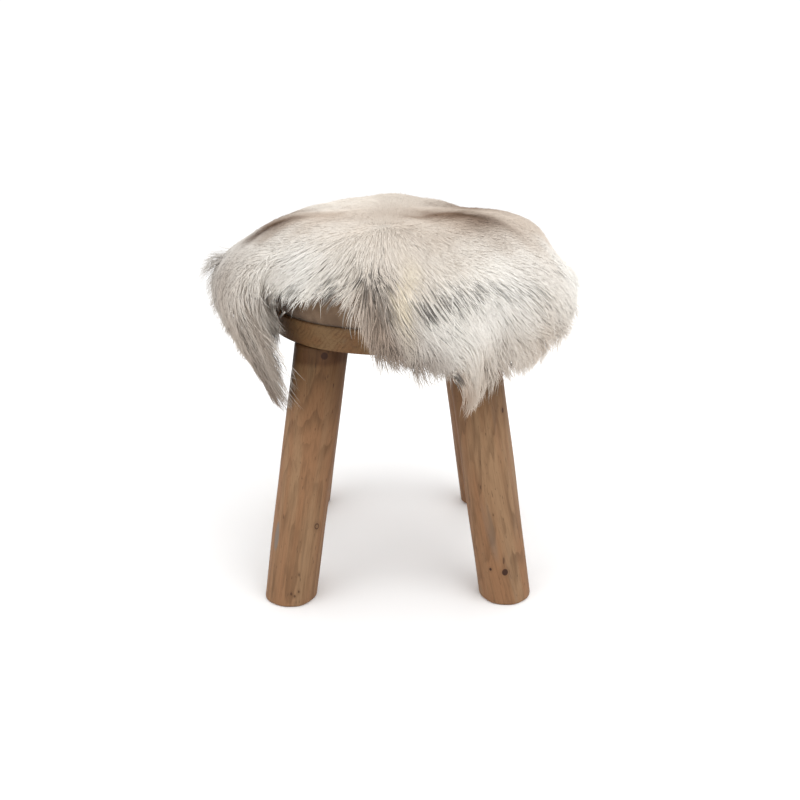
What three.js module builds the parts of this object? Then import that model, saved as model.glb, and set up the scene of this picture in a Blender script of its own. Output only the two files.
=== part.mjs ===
// A round wooden stool with a padded seat and a reindeer hide draped over it, fur side up.
// Millimetres, +Z up. Bearings are degrees round the stool's upright axis, from +X towards +Y,
// so the side that faces a viewer who looks along +Y has a bearing of 270.

import * as THREE from "three";

// Wooden seat disc
const SEAT_RADIUS = 150;
const SEAT_UNDERSIDE = 304;
const SEAT_THICKNESS = 27;
const SEAT_EDGE_ROUND = 2.5;
const SEAT_SIDES = 72;
const SEAT_TOP = SEAT_UNDERSIDE + SEAT_THICKNESS;

// Legs: round poles that lean outwards, sawn level at both ends
const LEG_RADIUS = 30.5;
const LEG_TOP_RING = 121;
const LEG_FOOT_RING = 181;
const LEG_FIRST_BEARING = 46;
const LEG_SIDES = 24;
const LEG_SECTIONS = 10;
const LEG_FLAT_COUNT = 3;
const LEG_FLAT_DEPTH = 0.6;
const LEG_FLAT_TWIST = 2;
const LEG_EDGE_ROUND = 2;
const LEG_NAMES = ["leg_rear_right", "leg_rear_left", "leg_front_left", "leg_front_right"];

// Round pad between the seat and the hide
const PAD_RADIUS = 149;
const PAD_HEIGHT = 76;
const PAD_FLAT_RADIUS = 78;
const PAD_CROWN = 2;
const PAD_SHOULDER_HEIGHT = 46;
const PAD_DRAWN_IN = 3;
const PAD_BULGE_AT = 0.4;
const PAD_SIDES = 72;
const PAD_SHOULDER_STEPS = 7;

// Gap that touching pieces keep, and the levels that follow from it
const GAP = 0.3;
const PAD_BASE = SEAT_TOP + GAP;
const PAD_TOP = PAD_BASE + PAD_HEIGHT;

// Hide: the pile is measured square to the skin, and a reach along it from the middle to the hair tips
const HIDE_CLEARANCE = 0.6;
const HIDE_LEVEL_UNTIL = 92;
const HIDE_EDGE_AT = 155;
const HIDE_BEND_LENGTH = 62;
const PILE_DEPTH = 32;
const PILE_EVEN_WITHIN = 110;
const PILE_THINS_BY = 5;
const PILE_ROUNDNESS = 0.6;
const LUMP_DEPTH = 2.6;
const LUMPS_ROUND = 7;
const LUMP_LENGTH = 17;
const LUMP_SPACING = 29;
const LOCK_COUNT = 50;
const COLUMNS_PER_LOCK = 3;
const LOCK_NOTCH = 13;
const LOCK_VARIATION = 9;
const LOCK_PINCH = 0.3;
const LOCKS_FROM = 0.8;
const PROFILE_STEP = 2;

// How the hide leaves the pad and hangs, a row for each lobe, fold and bay of its outline.
// leave: its slope past the pad's shoulder; hang: its slope further out; 90 is straight down.
// fold: how far from the middle it starts to hang; reach: how far away its hair ends.
// pile: the depth of its fur; swing: how far its hanging end turns round the axis, in degrees.
const OUTLINE = [
  { bearing: 0, leave: 41, hang: 74, fold: 190, reach: 250, pile: 30, swing: 0 },
  { bearing: 22, leave: 36, hang: 72, fold: 185, reach: 246, pile: 30, swing: 0 },
  { bearing: 45, leave: 31, hang: 76, fold: 175, reach: 268, pile: 26, swing: 0 },
  { bearing: 68, leave: 30, hang: 76, fold: 165, reach: 256, pile: 31, swing: 0 },
  { bearing: 92, leave: 22, hang: 74, fold: 160, reach: 250, pile: 39, swing: 0 },
  { bearing: 115, leave: 25, hang: 78, fold: 165, reach: 258, pile: 37, swing: 0 },
  { bearing: 140, leave: 29, hang: 84, fold: 178, reach: 276, pile: 29, swing: 0 },
  { bearing: 164, leave: 29, hang: 92, fold: 186, reach: 262, pile: 25, swing: 0 },
  { bearing: 182, leave: 30, hang: 102, fold: 184, reach: 274, pile: 26, swing: 0 },
  { bearing: 190, leave: 32, hang: 103, fold: 178, reach: 290, pile: 26, swing: 3 },
  { bearing: 197, leave: 34, hang: 103, fold: 172, reach: 306, pile: 26, swing: 8 },
  { bearing: 203, leave: 36, hang: 102, fold: 166, reach: 338, pile: 26, swing: 11 },
  { bearing: 207, leave: 38, hang: 100, fold: 162, reach: 322, pile: 26, swing: 11 },
  { bearing: 211, leave: 44, hang: 94, fold: 160, reach: 258, pile: 26, swing: 6 },
  { bearing: 217, leave: 50, hang: 90, fold: 160, reach: 206, pile: 26, swing: 0 },
  { bearing: 228, leave: 57, hang: 88, fold: 160, reach: 191, pile: 26, swing: 0 },
  { bearing: 244, leave: 57, hang: 88, fold: 160, reach: 187, pile: 26, swing: 0 },
  { bearing: 252, leave: 53, hang: 86, fold: 160, reach: 204, pile: 28, swing: 0 },
  { bearing: 260, leave: 46, hang: 84, fold: 160, reach: 238, pile: 30, swing: 0 },
  { bearing: 270, leave: 40, hang: 84, fold: 160, reach: 252, pile: 30, swing: 0 },
  { bearing: 282, leave: 36, hang: 87, fold: 160, reach: 272, pile: 30, swing: 0 },
  { bearing: 296, leave: 32, hang: 92, fold: 160, reach: 322, pile: 28, swing: 0 },
  { bearing: 304, leave: 31, hang: 92, fold: 162, reach: 298, pile: 30, swing: 0 },
  { bearing: 318, leave: 31, hang: 88, fold: 165, reach: 278, pile: 32, swing: 0 },
  { bearing: 338, leave: 36, hang: 84, fold: 175, reach: 264, pile: 32, swing: 0 },
];
const OUTLINE_COLUMNS = ["leave", "hang", "fold", "reach", "pile", "swing"];

// Shares of the reach at which the fur's outside and the skin's inside have a ring of points
const OUTER_RINGS = [0.12, 0.26, 0.39, 0.5, 0.59, 0.67, 0.74, 0.8, 0.85, 0.9, 0.94, 0.975];
const INNER_RINGS = [0.96, 0.9, 0.83, 0.76, 0.68, 0.59, 0.48, 0.34, 0.17];

const WOOD = new THREE.MeshStandardMaterial({ color: 0xa9805c, roughness: 0.7, metalness: 0 });
const PAD_CLOTH = new THREE.MeshStandardMaterial({ color: 0x8a725c, roughness: 0.9, metalness: 0 });
const FUR = new THREE.MeshStandardMaterial({ color: 0xe2dacd, roughness: 0.95, metalness: 0 });

const radians = THREE.MathUtils.degToRad;
const mix = THREE.MathUtils.lerp;
const smooth = (x) => THREE.MathUtils.smoothstep(x, 0, 1);

// A closed solid through rings of points, with a fan at each end. Rings run anticlockwise seen from
// the start point, and have the same number of points.
function solidThroughRings(startPoint, rings, endPoint) {
  const count = rings[0].length;
  const points = [startPoint, ...rings.flat(), endPoint];
  const last = points.length - 1;
  const at = (ring, i) => 1 + ring * count + (i % count);
  const faces = [];
  for (let i = 0; i < count; i++) {
    faces.push(0, at(0, i), at(0, i + 1));
    for (let ring = 0; ring + 1 < rings.length; ring++) {
      faces.push(at(ring, i), at(ring + 1, i), at(ring + 1, i + 1));
      faces.push(at(ring, i), at(ring + 1, i + 1), at(ring, i + 1));
    }
    faces.push(at(rings.length - 1, i), last, at(rings.length - 1, i + 1));
  }
  const geometry = new THREE.BufferGeometry().setFromPoints(points);
  geometry.setIndex(faces);
  geometry.computeVertexNormals();
  return geometry;
}

function pointAt(bearing, radius, height) {
  const turn = radians(bearing);
  return new THREE.Vector3(radius * Math.cos(turn), radius * Math.sin(turn), height);
}

function namedMesh(name, geometry, material) {
  const mesh = new THREE.Mesh(geometry, material);
  mesh.name = name;
  return mesh;
}

// A solid of revolution about +Z from a profile of radius and height, from the lower axis point up
function turned(profile, sides) {
  const points = profile.map(([radius, height]) => new THREE.Vector2(radius, height));
  return new THREE.LatheGeometry(points, sides).rotateX(Math.PI / 2);
}

function seatDisc() {
  const r = SEAT_RADIUS;
  const e = SEAT_EDGE_ROUND;
  const profile = [
    [0, SEAT_UNDERSIDE],
    [r - e, SEAT_UNDERSIDE],
    [r, SEAT_UNDERSIDE + e],
    [r, SEAT_TOP - e],
    [r - e, SEAT_TOP],
    [0, SEAT_TOP],
  ];
  return turned(profile, SEAT_SIDES);
}

// A filled pad: sides drawn in at its base, a round shoulder and a low crown
function pad() {
  const shoulderBase = PAD_TOP - PAD_SHOULDER_HEIGHT;
  const profile = [
    [0, PAD_BASE],
    [PAD_RADIUS - PAD_DRAWN_IN, PAD_BASE],
    [PAD_RADIUS, mix(PAD_BASE, shoulderBase, PAD_BULGE_AT)],
  ];
  for (let step = 0; step <= PAD_SHOULDER_STEPS; step++) {
    const turn = (step / PAD_SHOULDER_STEPS) * (Math.PI / 2);
    profile.push([
      mix(PAD_FLAT_RADIUS, PAD_RADIUS, Math.cos(turn)),
      shoulderBase + (PAD_SHOULDER_HEIGHT - PAD_CROWN) * Math.sin(turn),
    ]);
  }
  profile.push([0, PAD_TOP]);
  return turned(profile, PAD_SIDES);
}

// A leaning pole, round with slight knife flats that twist along it, and with eased ends
function leg(bearing, twist) {
  const height = SEAT_UNDERSIDE - GAP;
  const stretch = Math.hypot(1, (LEG_FOOT_RING - LEG_TOP_RING) / height);
  const section = (level, inset) => {
    const share = 1 - level / height;
    const middle = pointAt(bearing, mix(LEG_TOP_RING, LEG_FOOT_RING, share), level);
    const ring = [];
    for (let i = 0; i < LEG_SIDES; i++) {
      const turn = (i / LEG_SIDES) * 2 * Math.PI;
      const flats = LEG_FLAT_DEPTH * Math.sin(LEG_FLAT_COUNT * turn + twist + LEG_FLAT_TWIST * share);
      const radius = LEG_RADIUS - inset + flats;
      const along = pointAt(bearing, radius * Math.cos(turn) * stretch, 0);
      const across = pointAt(bearing + 90, radius * Math.sin(turn), 0);
      ring.push(middle.clone().add(along).add(across));
    }
    return { middle, ring };
  };
  const top = section(height, LEG_EDGE_ROUND);
  const foot = section(0, LEG_EDGE_ROUND);
  const rings = [top.ring];
  for (let step = 0; step <= LEG_SECTIONS; step++) {
    rings.push(section(mix(height - LEG_EDGE_ROUND, LEG_EDGE_ROUND, step / LEG_SECTIONS), 0).ring);
  }
  rings.push(foot.ring);
  return solidThroughRings(top.middle, rings, foot.middle);
}

// The outline's row for any bearing, eased from each row to the next
function outlineAt(bearing) {
  const angle = ((bearing % 360) + 360) % 360;
  const next = OUTLINE.findIndex((row) => row.bearing > angle);
  const after = next === -1 ? { ...OUTLINE[0], bearing: 360 } : OUTLINE[next];
  const before = OUTLINE[(next === -1 ? OUTLINE.length : next) - 1];
  const share = smooth((angle - before.bearing) / (after.bearing - before.bearing));
  const row = {};
  for (const column of OUTLINE_COLUMNS) row[column] = mix(before[column], after[column], share);
  return row;
}

// Slope of the skin, in degrees below level, at a distance along it from the middle
function slopeAlong(row, distance) {
  const leaving = smooth((distance - HIDE_LEVEL_UNTIL) / (HIDE_EDGE_AT - HIDE_LEVEL_UNTIL));
  const hanging = smooth((distance - row.fold) / HIDE_BEND_LENGTH);
  return row.leave * leaving + (row.hang - row.leave) * hanging;
}

// Radius, height and slope of the skin at a distance along it, by summing short straight steps
function skinAt(row, distance) {
  const steps = Math.max(1, Math.ceil(distance / PROFILE_STEP));
  const stride = distance / steps;
  let radius = 0;
  let height = PAD_TOP + HIDE_CLEARANCE;
  for (let step = 0; step < steps; step++) {
    const slope = radians(slopeAlong(row, (step + 0.5) * stride));
    radius += stride * Math.cos(slope);
    height -= stride * Math.sin(slope);
  }
  return { radius, height, slope: radians(slopeAlong(row, distance)) };
}

// A repeatable number from 0 to 1 for each lock of hair
const lockChance = (lock) => Math.abs(Math.sin(lock * 12.9898) * 43758.5453) % 1;

// The hide with its pile as one lumpy slab, thin at the rim, where the hair ends in pointed locks
function hide() {
  const columns = LOCK_COUNT * COLUMNS_PER_LOCK;
  const hidePoint = (column, share, outside) => {
    const lock = Math.floor(column / COLUMNS_PER_LOCK);
    const fromMiddle = (column % COLUMNS_PER_LOCK) - (COLUMNS_PER_LOCK - 1) / 2;
    const nearRim = smooth((share - LOCKS_FROM) / (1 - LOCKS_FROM));
    const bearing = ((column - LOCK_PINCH * fromMiddle * nearRim) / columns) * 360;
    const row = outlineAt((column / columns) * 360);
    const lockEnd = LOCK_VARIATION * (lockChance(lock) - 0.5) - LOCK_NOTCH * Math.abs(fromMiddle);
    const distance = share * row.reach + nearRim * lockEnd;
    const skin = skinAt(row, distance);
    const lumpTurn = radians(LUMPS_ROUND * bearing) + distance / LUMP_LENGTH;
    const lump = LUMP_DEPTH * Math.sin(lumpTurn) * Math.sin(distance / LUMP_SPACING);
    const full = lump + mix(PILE_DEPTH, row.pile, smooth(distance / PILE_EVEN_WITHIN));
    const pile = outside ? full * (1 - share ** PILE_THINS_BY) ** PILE_ROUNDNESS : 0;
    const facing = bearing + row.swing * smooth((distance - HIDE_EDGE_AT) / (row.reach - HIDE_EDGE_AT));
    const radius = skin.radius + pile * Math.sin(skin.slope);
    return pointAt(facing, radius, skin.height + pile * Math.cos(skin.slope));
  };
  const ring = (share, outside) => {
    const points = [];
    for (let column = 0; column < columns; column++) points.push(hidePoint(column, share, outside));
    return points;
  };
  const rings = [
    ...OUTER_RINGS.map((share) => ring(share, true)),
    ring(1, false),
    ...INNER_RINGS.map((share) => ring(share, false)),
  ];
  const skinMiddle = PAD_TOP + HIDE_CLEARANCE;
  return solidThroughRings(pointAt(0, 0, skinMiddle + PILE_DEPTH), rings, pointAt(0, 0, skinMiddle));
}

const stool = new THREE.Group();
stool.add(namedMesh("seat", seatDisc(), WOOD));
LEG_NAMES.forEach((name, i) => stool.add(namedMesh(name, leg(LEG_FIRST_BEARING + 90 * i, i), WOOD)));
stool.add(namedMesh("pad", pad(), PAD_CLOTH));
stool.add(namedMesh("hide", hide(), FUR));

// The origin is on the floor, under the middle of the whole object's box
const middle = new THREE.Box3().setFromObject(stool).getCenter(new THREE.Vector3());
stool.position.set(-middle.x, -middle.y, 0);

export default stool;
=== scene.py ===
# %% [markdown]
# # A reindeer hide draped over a padded stool
# A hair-on reindeer hide lies fur side up on a low stool: a thick sawn disc of wood on four peeled
# poles that lean outwards, with a round pad on top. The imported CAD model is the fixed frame, and this
# lesson dresses it: wood that shows its log, a cloth pad, a thin skin, and then the fur itself.

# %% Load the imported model
import math

import bpy
import numpy as np
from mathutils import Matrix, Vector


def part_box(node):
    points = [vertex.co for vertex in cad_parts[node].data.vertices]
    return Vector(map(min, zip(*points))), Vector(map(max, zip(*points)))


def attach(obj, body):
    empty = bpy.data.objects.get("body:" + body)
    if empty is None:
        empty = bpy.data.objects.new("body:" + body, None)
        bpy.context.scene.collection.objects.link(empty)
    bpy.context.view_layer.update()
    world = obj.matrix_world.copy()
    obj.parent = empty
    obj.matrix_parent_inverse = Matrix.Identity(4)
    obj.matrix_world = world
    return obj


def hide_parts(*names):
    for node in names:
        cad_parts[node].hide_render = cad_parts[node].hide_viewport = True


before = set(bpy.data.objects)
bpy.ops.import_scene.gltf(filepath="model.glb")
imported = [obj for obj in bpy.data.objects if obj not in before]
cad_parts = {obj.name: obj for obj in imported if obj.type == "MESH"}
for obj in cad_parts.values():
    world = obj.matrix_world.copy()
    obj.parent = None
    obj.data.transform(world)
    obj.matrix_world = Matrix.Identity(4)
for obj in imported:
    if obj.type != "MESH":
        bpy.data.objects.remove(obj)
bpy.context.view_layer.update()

# %% [markdown]
# Every shape is worked out in millimetres about the stool's upright axis, because those are the sizes
# a maker would write down. The CAD disc says where that axis stands in the shared frame. Bearings are
# degrees round the axis from +X towards +Y, so the side that faces the camera has a bearing of 270.

# %% The stool's axis and levels
MM = 0.001
GAP = 0.3
seat_low, seat_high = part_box("seat")
pad_low, pad_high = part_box("pad")
AXIS = np.array([(seat_low.x + seat_high.x) / 2, (seat_low.y + seat_high.y) / 2, 0.0])
SEAT_UNDERSIDE = seat_low.z / MM
SEAT_TOP = seat_high.z / MM
PAD_BASE = pad_low.z / MM
PAD_TOP = pad_high.z / MM


def smooth(x):
    """An eased step: 0 below 0, 1 above 1, and 3x squared minus 2x cubed between."""
    x = np.clip(x, 0.0, 1.0)
    return x * x * (3.0 - 2.0 * x)


def mix(low, high, share):
    """Straight blend: low plus share of the way to high."""
    return low + (high - low) * share


def degrees_off(bearing, middle):
    """Turn from a middle bearing to another one, between half a turn back and half a turn on."""
    return np.mod(bearing - middle + 180.0, 360.0) - 180.0


print("axis", AXIS[:2].round(5), "seat top", round(SEAT_TOP, 1), "pad top", round(PAD_TOP, 1), "mm")

# %% [markdown]
# Two helpers turn arrays into pieces. The first puts points and faces into a mesh in one go. The second
# makes the closed skin of anything that is a stack of rings, from a pole to a draped sheet, with a
# fan of triangles at each end, so that no piece has an open seam.

# %% From arrays to pieces
def piece_from_arrays(name, points, quads, triangles=()):
    """A mesh object from points in millimetres about the axis, moved to the frame's metres."""
    quads = np.asarray(quads, np.int32).reshape(-1, 4)
    triangles = np.asarray(triangles, np.int32).reshape(-1, 3)
    corners = np.concatenate([quads.ravel(), triangles.ravel()])
    sizes = np.concatenate([np.full(len(quads), 4), np.full(len(triangles), 3)])
    starts = np.concatenate([[0], np.cumsum(sizes)[:-1]]).astype(np.int32)
    mesh = bpy.data.meshes.new(name)
    mesh.vertices.add(len(points))
    mesh.vertices.foreach_set("co", (points * MM + AXIS).astype(np.float32).ravel())
    mesh.loops.add(len(corners))
    mesh.loops.foreach_set("vertex_index", corners)
    mesh.polygons.add(len(sizes))
    mesh.polygons.foreach_set("loop_start", starts)
    mesh.polygons.foreach_set("use_smooth", np.ones(len(sizes), bool))
    mesh.update(calc_edges=True)
    mesh.validate()
    piece = bpy.data.objects.new(name, mesh)
    bpy.context.scene.collection.objects.link(piece)
    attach(piece, "root")
    return piece


def piece_from_rings(name, rings):
    """Rings of points (ring, column, xyz), the first underneath, joined by quads and closed by fans."""
    ring_count, columns, _ = rings.shape
    index = np.arange(ring_count * columns).reshape(ring_count, columns)
    beside = np.roll(index, -1, axis=1)
    quads = np.stack([index[:-1], beside[:-1], beside[1:], index[1:]], axis=-1)
    first, last = ring_count * columns, ring_count * columns + 1
    under = np.stack([np.full(columns, first), beside[0], index[0]], axis=-1)
    over = np.stack([np.full(columns, last), index[-1], beside[-1]], axis=-1)
    ends = np.stack([rings[0].mean(axis=0), rings[-1].mean(axis=0)])
    points = np.concatenate([rings.reshape(-1, 3), ends])
    return piece_from_arrays(name, points, quads, np.concatenate([under, over]))


def paint(piece, name, values):
    """Stores one vector a point on the piece, for its material to read."""
    kind = "FLOAT_COLOR" if values.shape[1] == 4 else "FLOAT_VECTOR"
    layer = piece.data.attributes.new(name, kind, "POINT")
    layer.data.foreach_set("color" if values.shape[1] == 4 else "vector", values.astype(np.float32).ravel())


def with_ends(values):
    """A ring grid's values flattened, with the two fan centres given the means of their rings."""
    ends = np.stack([values[0].mean(axis=0), values[-1].mean(axis=0)])
    return np.concatenate([values.reshape(-1, values.shape[-1]), ends])


print("helpers ready")

# %% [markdown]
# Materials are small node graphs. A few helpers keep them short to read: one adds a node and either sets
# or links each of its inputs, others do a sum, ease a step, blend two colours or make noise, and the last
# links a finished colour and relief to the shader.

# %% Node helpers
def tone(red, green, blue):
    """A colour given in 0 to 255 display values, turned by the sRGB curve to linear ones."""
    display = np.array([red, green, blue]) / 255.0
    linear = np.where(display <= 0.04045, display / 12.92, ((display + 0.055) / 1.055) ** 2.4)
    return (*linear.tolist(), 1.0)


def add(tree, kind, inputs, **settings):
    """Adds one shader node; an input is a value to set or another node's output to link."""
    made = tree.nodes.new("ShaderNode" + kind)
    for key, value in settings.items():
        setattr(made, key, value)
    for key, value in inputs.items():
        if isinstance(value, bpy.types.NodeSocket):
            tree.links.new(value, made.inputs[key])
        else:
            made.inputs[key].default_value = value
    return made


def calc(tree, operation, first, second=0.0, third=0.0):
    """One sum on numbers, clamped only where the operation itself does that."""
    return add(tree, "Math", {0: first, 1: second, 2: third}, operation=operation).outputs[0]


def between(tree, value, low, high):
    """Eased 0 to 1 as value goes from low to high."""
    made = add(tree, "MapRange", {"Value": value, "From Min": low, "From Max": high})
    made.interpolation_type = "SMOOTHSTEP"
    return made.outputs["Result"]


def blend(tree, share, low, high, kind="MIX"):
    """Two colours blended by a share, or multiplied together."""
    made = add(tree, "Mix", {0: share, 6: low, 7: high}, data_type="RGBA", blend_type=kind)
    return made.outputs[2]


def noise(tree, where, scale, detail=3.0, roughness=0.55):
    """Soft noise from 0 to 1 at so many bumps a metre."""
    inputs = {"Vector": where, "Scale": scale, "Detail": detail, "Roughness": roughness}
    return add(tree, "TexNoise", inputs).outputs[0]


def stretched(tree, where, along):
    """The same place with its third axis scaled, so that a pattern becomes long along it."""
    return add(tree, "Mapping", {"Vector": where, "Scale": (1.0, 1.0, along)}).outputs[0]


def finish(name, roughness, specular):
    """A new material with its shader, ready for nodes to be linked to it."""
    material = bpy.data.materials.new(name)
    material.use_nodes = True
    shader = material.node_tree.nodes["Principled BSDF"]
    shader.inputs["Roughness"].default_value = roughness
    shader.inputs["Specular IOR Level"].default_value = specular
    return material, material.node_tree, shader


def dress(tree, shader, colour, relief, strength, depth):
    """Links a finished colour to the shader, and a relief that is depth metres deep as its bump."""
    tree.links.new(colour, shader.inputs["Base Color"])
    bump = add(tree, "Bump", {"Strength": strength, "Distance": depth, "Height": relief})
    tree.links.new(bump.outputs[0], shader.inputs["Normal"])


print("node helpers ready")

# %% [markdown]
# ## Wood
# Each leg is a peeled pole: a log with its bark taken off by knife, so it is nearly round, with slight
# flats, and sawn level at both ends. A plain cylinder would look turned on a lathe. Here the radius is
# a function of the turn and the level: the CAD pole's own three flats, and finer knife dents on them.

# %% The legs' shape
LEG_RADIUS = 30.5
LEG_TOP_RING = 121.0
LEG_FOOT_RING = 181.0
LEG_FIRST_BEARING = 46.0
LEG_NAMES = ("rear_right", "rear_left", "front_left", "front_right")
LEG_SPACING = 360.0 / len(LEG_NAMES)
LEG_FLATS = 3
LEG_FLAT_DEPTH = 0.6
LEG_FLAT_TWIST = 2.0
LEG_EDGE_ROUND = 2.0
LEG_END_INSET = 3.0 * LEG_EDGE_ROUND
LEG_SIDE_MARGIN = 4.0
LEG_HEIGHT = SEAT_UNDERSIDE - GAP
LEG_COLUMNS = 72
LEG_LEVELS = 66
# up and in from the sawn end, in edge rounds
LEG_EDGE_PROFILE = np.array([[0.0, 1.0], [0.6, 0.3], [1.0, 0.0]])
DENT_DEPTH = 0.22
# dents round the pole, levels to a radian, twists of the pole
DENTS = ((5.0, 23.0, 1.0), (8.0, -37.0, 2.0))
HEART_DRIFT = 9.0
# levels to a radian and twists, for each way across the log
HEART_WAVES = ((95.0, 2.1), (120.0, 1.3))
LOG_APART = 700.0
turn_round = np.linspace(0.0, 2.0 * np.pi, LEG_COLUMNS, endpoint=False)


def leg_rings(bearing, twist):
    """A leaning pole: level rings stretched along the lean, their radius eased by flats and dents.

    Also gives each point's place in its own log: across the grain twice, then along it. The log's
    heart wanders off the pole's middle, so that the growth rings run out at the surface in flames.
    """
    foot = LEG_EDGE_PROFILE * LEG_EDGE_ROUND
    side_levels = np.linspace(LEG_SIDE_MARGIN, LEG_HEIGHT - LEG_SIDE_MARGIN, LEG_LEVELS)
    side = np.stack([side_levels, np.zeros(LEG_LEVELS)], axis=-1)
    head = np.stack([LEG_HEIGHT - foot[::-1, 0], foot[::-1, 1]], axis=-1)
    flat_foot = np.array([[0.0, LEG_END_INSET]])
    flat_head = np.array([[LEG_HEIGHT, LEG_END_INSET]])
    levels, inset = np.concatenate([flat_foot, foot, side, head, flat_head]).T[:, :, None]
    share = 1.0 - levels / LEG_HEIGHT
    radius = LEG_RADIUS - inset
    radius = radius + LEG_FLAT_DEPTH * np.sin(LEG_FLATS * turn_round + twist + LEG_FLAT_TWIST * share)
    for dents_round, levels_each, twists in DENTS:
        dent = np.sin(dents_round * turn_round + levels / levels_each + twists * twist)
        radius = radius + DENT_DEPTH * dent
    stretch = math.hypot(1.0, (LEG_FOOT_RING - LEG_TOP_RING) / LEG_HEIGHT)
    outward = mix(LEG_TOP_RING, LEG_FOOT_RING, share) + stretch * radius * np.cos(turn_round)
    sideways = radius * np.sin(turn_round)
    lean = math.radians(bearing)
    x = outward * math.cos(lean) - sideways * math.sin(lean)
    y = outward * math.sin(lean) + sideways * math.cos(lean)
    z = np.broadcast_to(levels, x.shape)
    first_wave, second_wave = (levels / each + twists * twist for each, twists in HEART_WAVES)
    across_one = radius * np.cos(turn_round) + HEART_DRIFT * np.sin(first_wave)
    across_two = radius * np.sin(turn_round) + HEART_DRIFT * np.cos(second_wave)
    log = np.stack([across_one, across_two, z + LOG_APART * twist], axis=-1) * MM
    return np.stack([x, y, z], axis=-1), log


legs = {}
for order, leg_name in enumerate(LEG_NAMES):
    rings, log = leg_rings(LEG_FIRST_BEARING + LEG_SPACING * order, order)
    legs[leg_name] = piece_from_rings("pole_" + leg_name, rings)
    paint(legs[leg_name], "log", with_ends(log))
    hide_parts("leg_" + leg_name)
print("four poles of", len(legs["front_left"].data.polygons), "faces each")

# %% [markdown]
# The seat is a thick disc sawn from a plank, so the grain runs straight through it from front to back.
# Its round edge therefore shows end grain at the front, with arcs of the growth rings, and long grain
# at the sides. The disc is a profile of radius and height carried round the axis.

# %% The seat disc
SEAT_RADIUS = (seat_high.x - seat_low.x) / 2 / MM
SEAT_EDGE_ROUND = 2.5
SEAT_COLUMNS = 180
SEAT_EDGE_STEPS = 5
SEAT_SIDE_STEPS = 6
SEAT_INNER_SHARES = np.array([0.15, 0.4, 0.65, 0.85, 0.97])
# waves round the edge, their share of the radius, and where they start
SEAT_WAVES = ((5.0, 0.0012, 0.0), (11.0, 0.0008, 1.0))
SEAT_HEART_RIGHT = 16.0
SEAT_HEART_BELOW = 46.0


def seat_rings():
    """Profile corners eased by quarter turns, carried round; the edge wavers a little, as if hand cut."""
    quarter = np.linspace(0.0, np.pi / 2, SEAT_EDGE_STEPS)
    lower = np.stack([np.sin(quarter) - 1.0, 1.0 - np.cos(quarter)], axis=-1) * SEAT_EDGE_ROUND
    upper = np.stack([np.cos(quarter) - 1.0, np.sin(quarter) - 1.0], axis=-1) * SEAT_EDGE_ROUND
    lower = lower + [SEAT_RADIUS, SEAT_UNDERSIDE]
    upper = upper + [SEAT_RADIUS, SEAT_TOP]
    inner = SEAT_INNER_SHARES * (SEAT_RADIUS - SEAT_EDGE_ROUND)
    under = np.stack([inner, np.full(len(inner), SEAT_UNDERSIDE)], axis=-1)
    over = np.stack([inner[::-1], np.full(len(inner), SEAT_TOP)], axis=-1)
    side_ends = (SEAT_UNDERSIDE + SEAT_EDGE_ROUND, SEAT_TOP - SEAT_EDGE_ROUND)
    side_levels = np.linspace(*side_ends, SEAT_SIDE_STEPS + 2)[1:-1]
    side = np.stack([np.full(SEAT_SIDE_STEPS, SEAT_RADIUS), side_levels], axis=-1)
    profile = np.concatenate([under, lower, side, upper, over])
    turn = np.linspace(0.0, 2.0 * np.pi, SEAT_COLUMNS, endpoint=False)
    waver = np.ones(SEAT_COLUMNS)
    for waves, share, start_turn in SEAT_WAVES:
        waver = waver + share * np.sin(waves * turn + start_turn)
    radius = profile[:, 0, None] * waver
    z = np.broadcast_to(profile[:, 1, None], radius.shape)
    return np.stack([radius * np.cos(turn), radius * np.sin(turn), z], axis=-1)


rings = seat_rings()
seat_board = piece_from_rings("seat_board", rings)
heart_place = np.array([SEAT_HEART_RIGHT, 0.0, SEAT_UNDERSIDE - SEAT_HEART_BELOW])
log = (rings - heart_place)[..., [0, 2, 1]] * MM
paint(seat_board, "log", with_ends(log))
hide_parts("seat")
print("seat board of", len(seat_board.data.polygons), "faces")

# %% [markdown]
# One function makes the wood of the disc and of the poles, because they come from the same kind of log, and
# the disc's wood is darker, partly its own tone and partly painted shade under the hide that overhangs it. It
# reads each point's place in its own log: rings are the distance from the heart, made wavy by noise, and
# fibres, flecks and weathering are noise drawn out along the log.

# %% The wood finish
WOOD_LIGHT = tone(146, 114, 85)
WOOD_WARM = tone(142, 103, 73)
WOOD_LATE = tone(98, 70, 47)
WOOD_GREY = tone(112, 101, 92)
KNOT_DARK = tone(52, 30, 20)
WOODS = (WOOD_LIGHT, WOOD_WARM, WOOD_LATE, WOOD_GREY, KNOT_DARK)
RINGS_A_METRE = 240.0
RING_WAVER = 3.0
LATE_WOOD_FROM = 0.35
LATE_WOOD_FULL = 0.92
LATE_WOOD_ENDS = 0.94
FIBRE_RELIEF = 0.6
RING_RELIEF = 0.25
# the seat's wood is darker, partly its own tone and partly painted shade under the hide's overhang
SEAT_DEPTH_AND_SHADE = (0.58, 0.57, 0.47)
POLE_DEPTH = (0.91, 0.92, 0.9)
WOOD_BUMP = {"strength": 0.5, "depth": 0.0006}
# scale along the log, bumps a metre across it, detail
GRAINS = {
    "waver": (0.14, 34.0, 3.0),
    "facet": (0.05, 40.0, 2.0),
    "cloud": (0.25, 60.0, 4.0),
    "fibre": (0.03, 900.0, 2.0),
    "stripe": (0.035, 230.0, 2.0),
    "fleck": (0.16, 620.0, 1.0),
    "weather": (0.12, 44.0, 2.0),
}


def deeper(colour, share):
    """The same colour with only a share of its red, green and blue light."""
    return (*np.multiply(share, colour[:3]).tolist(), 1.0)


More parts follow.
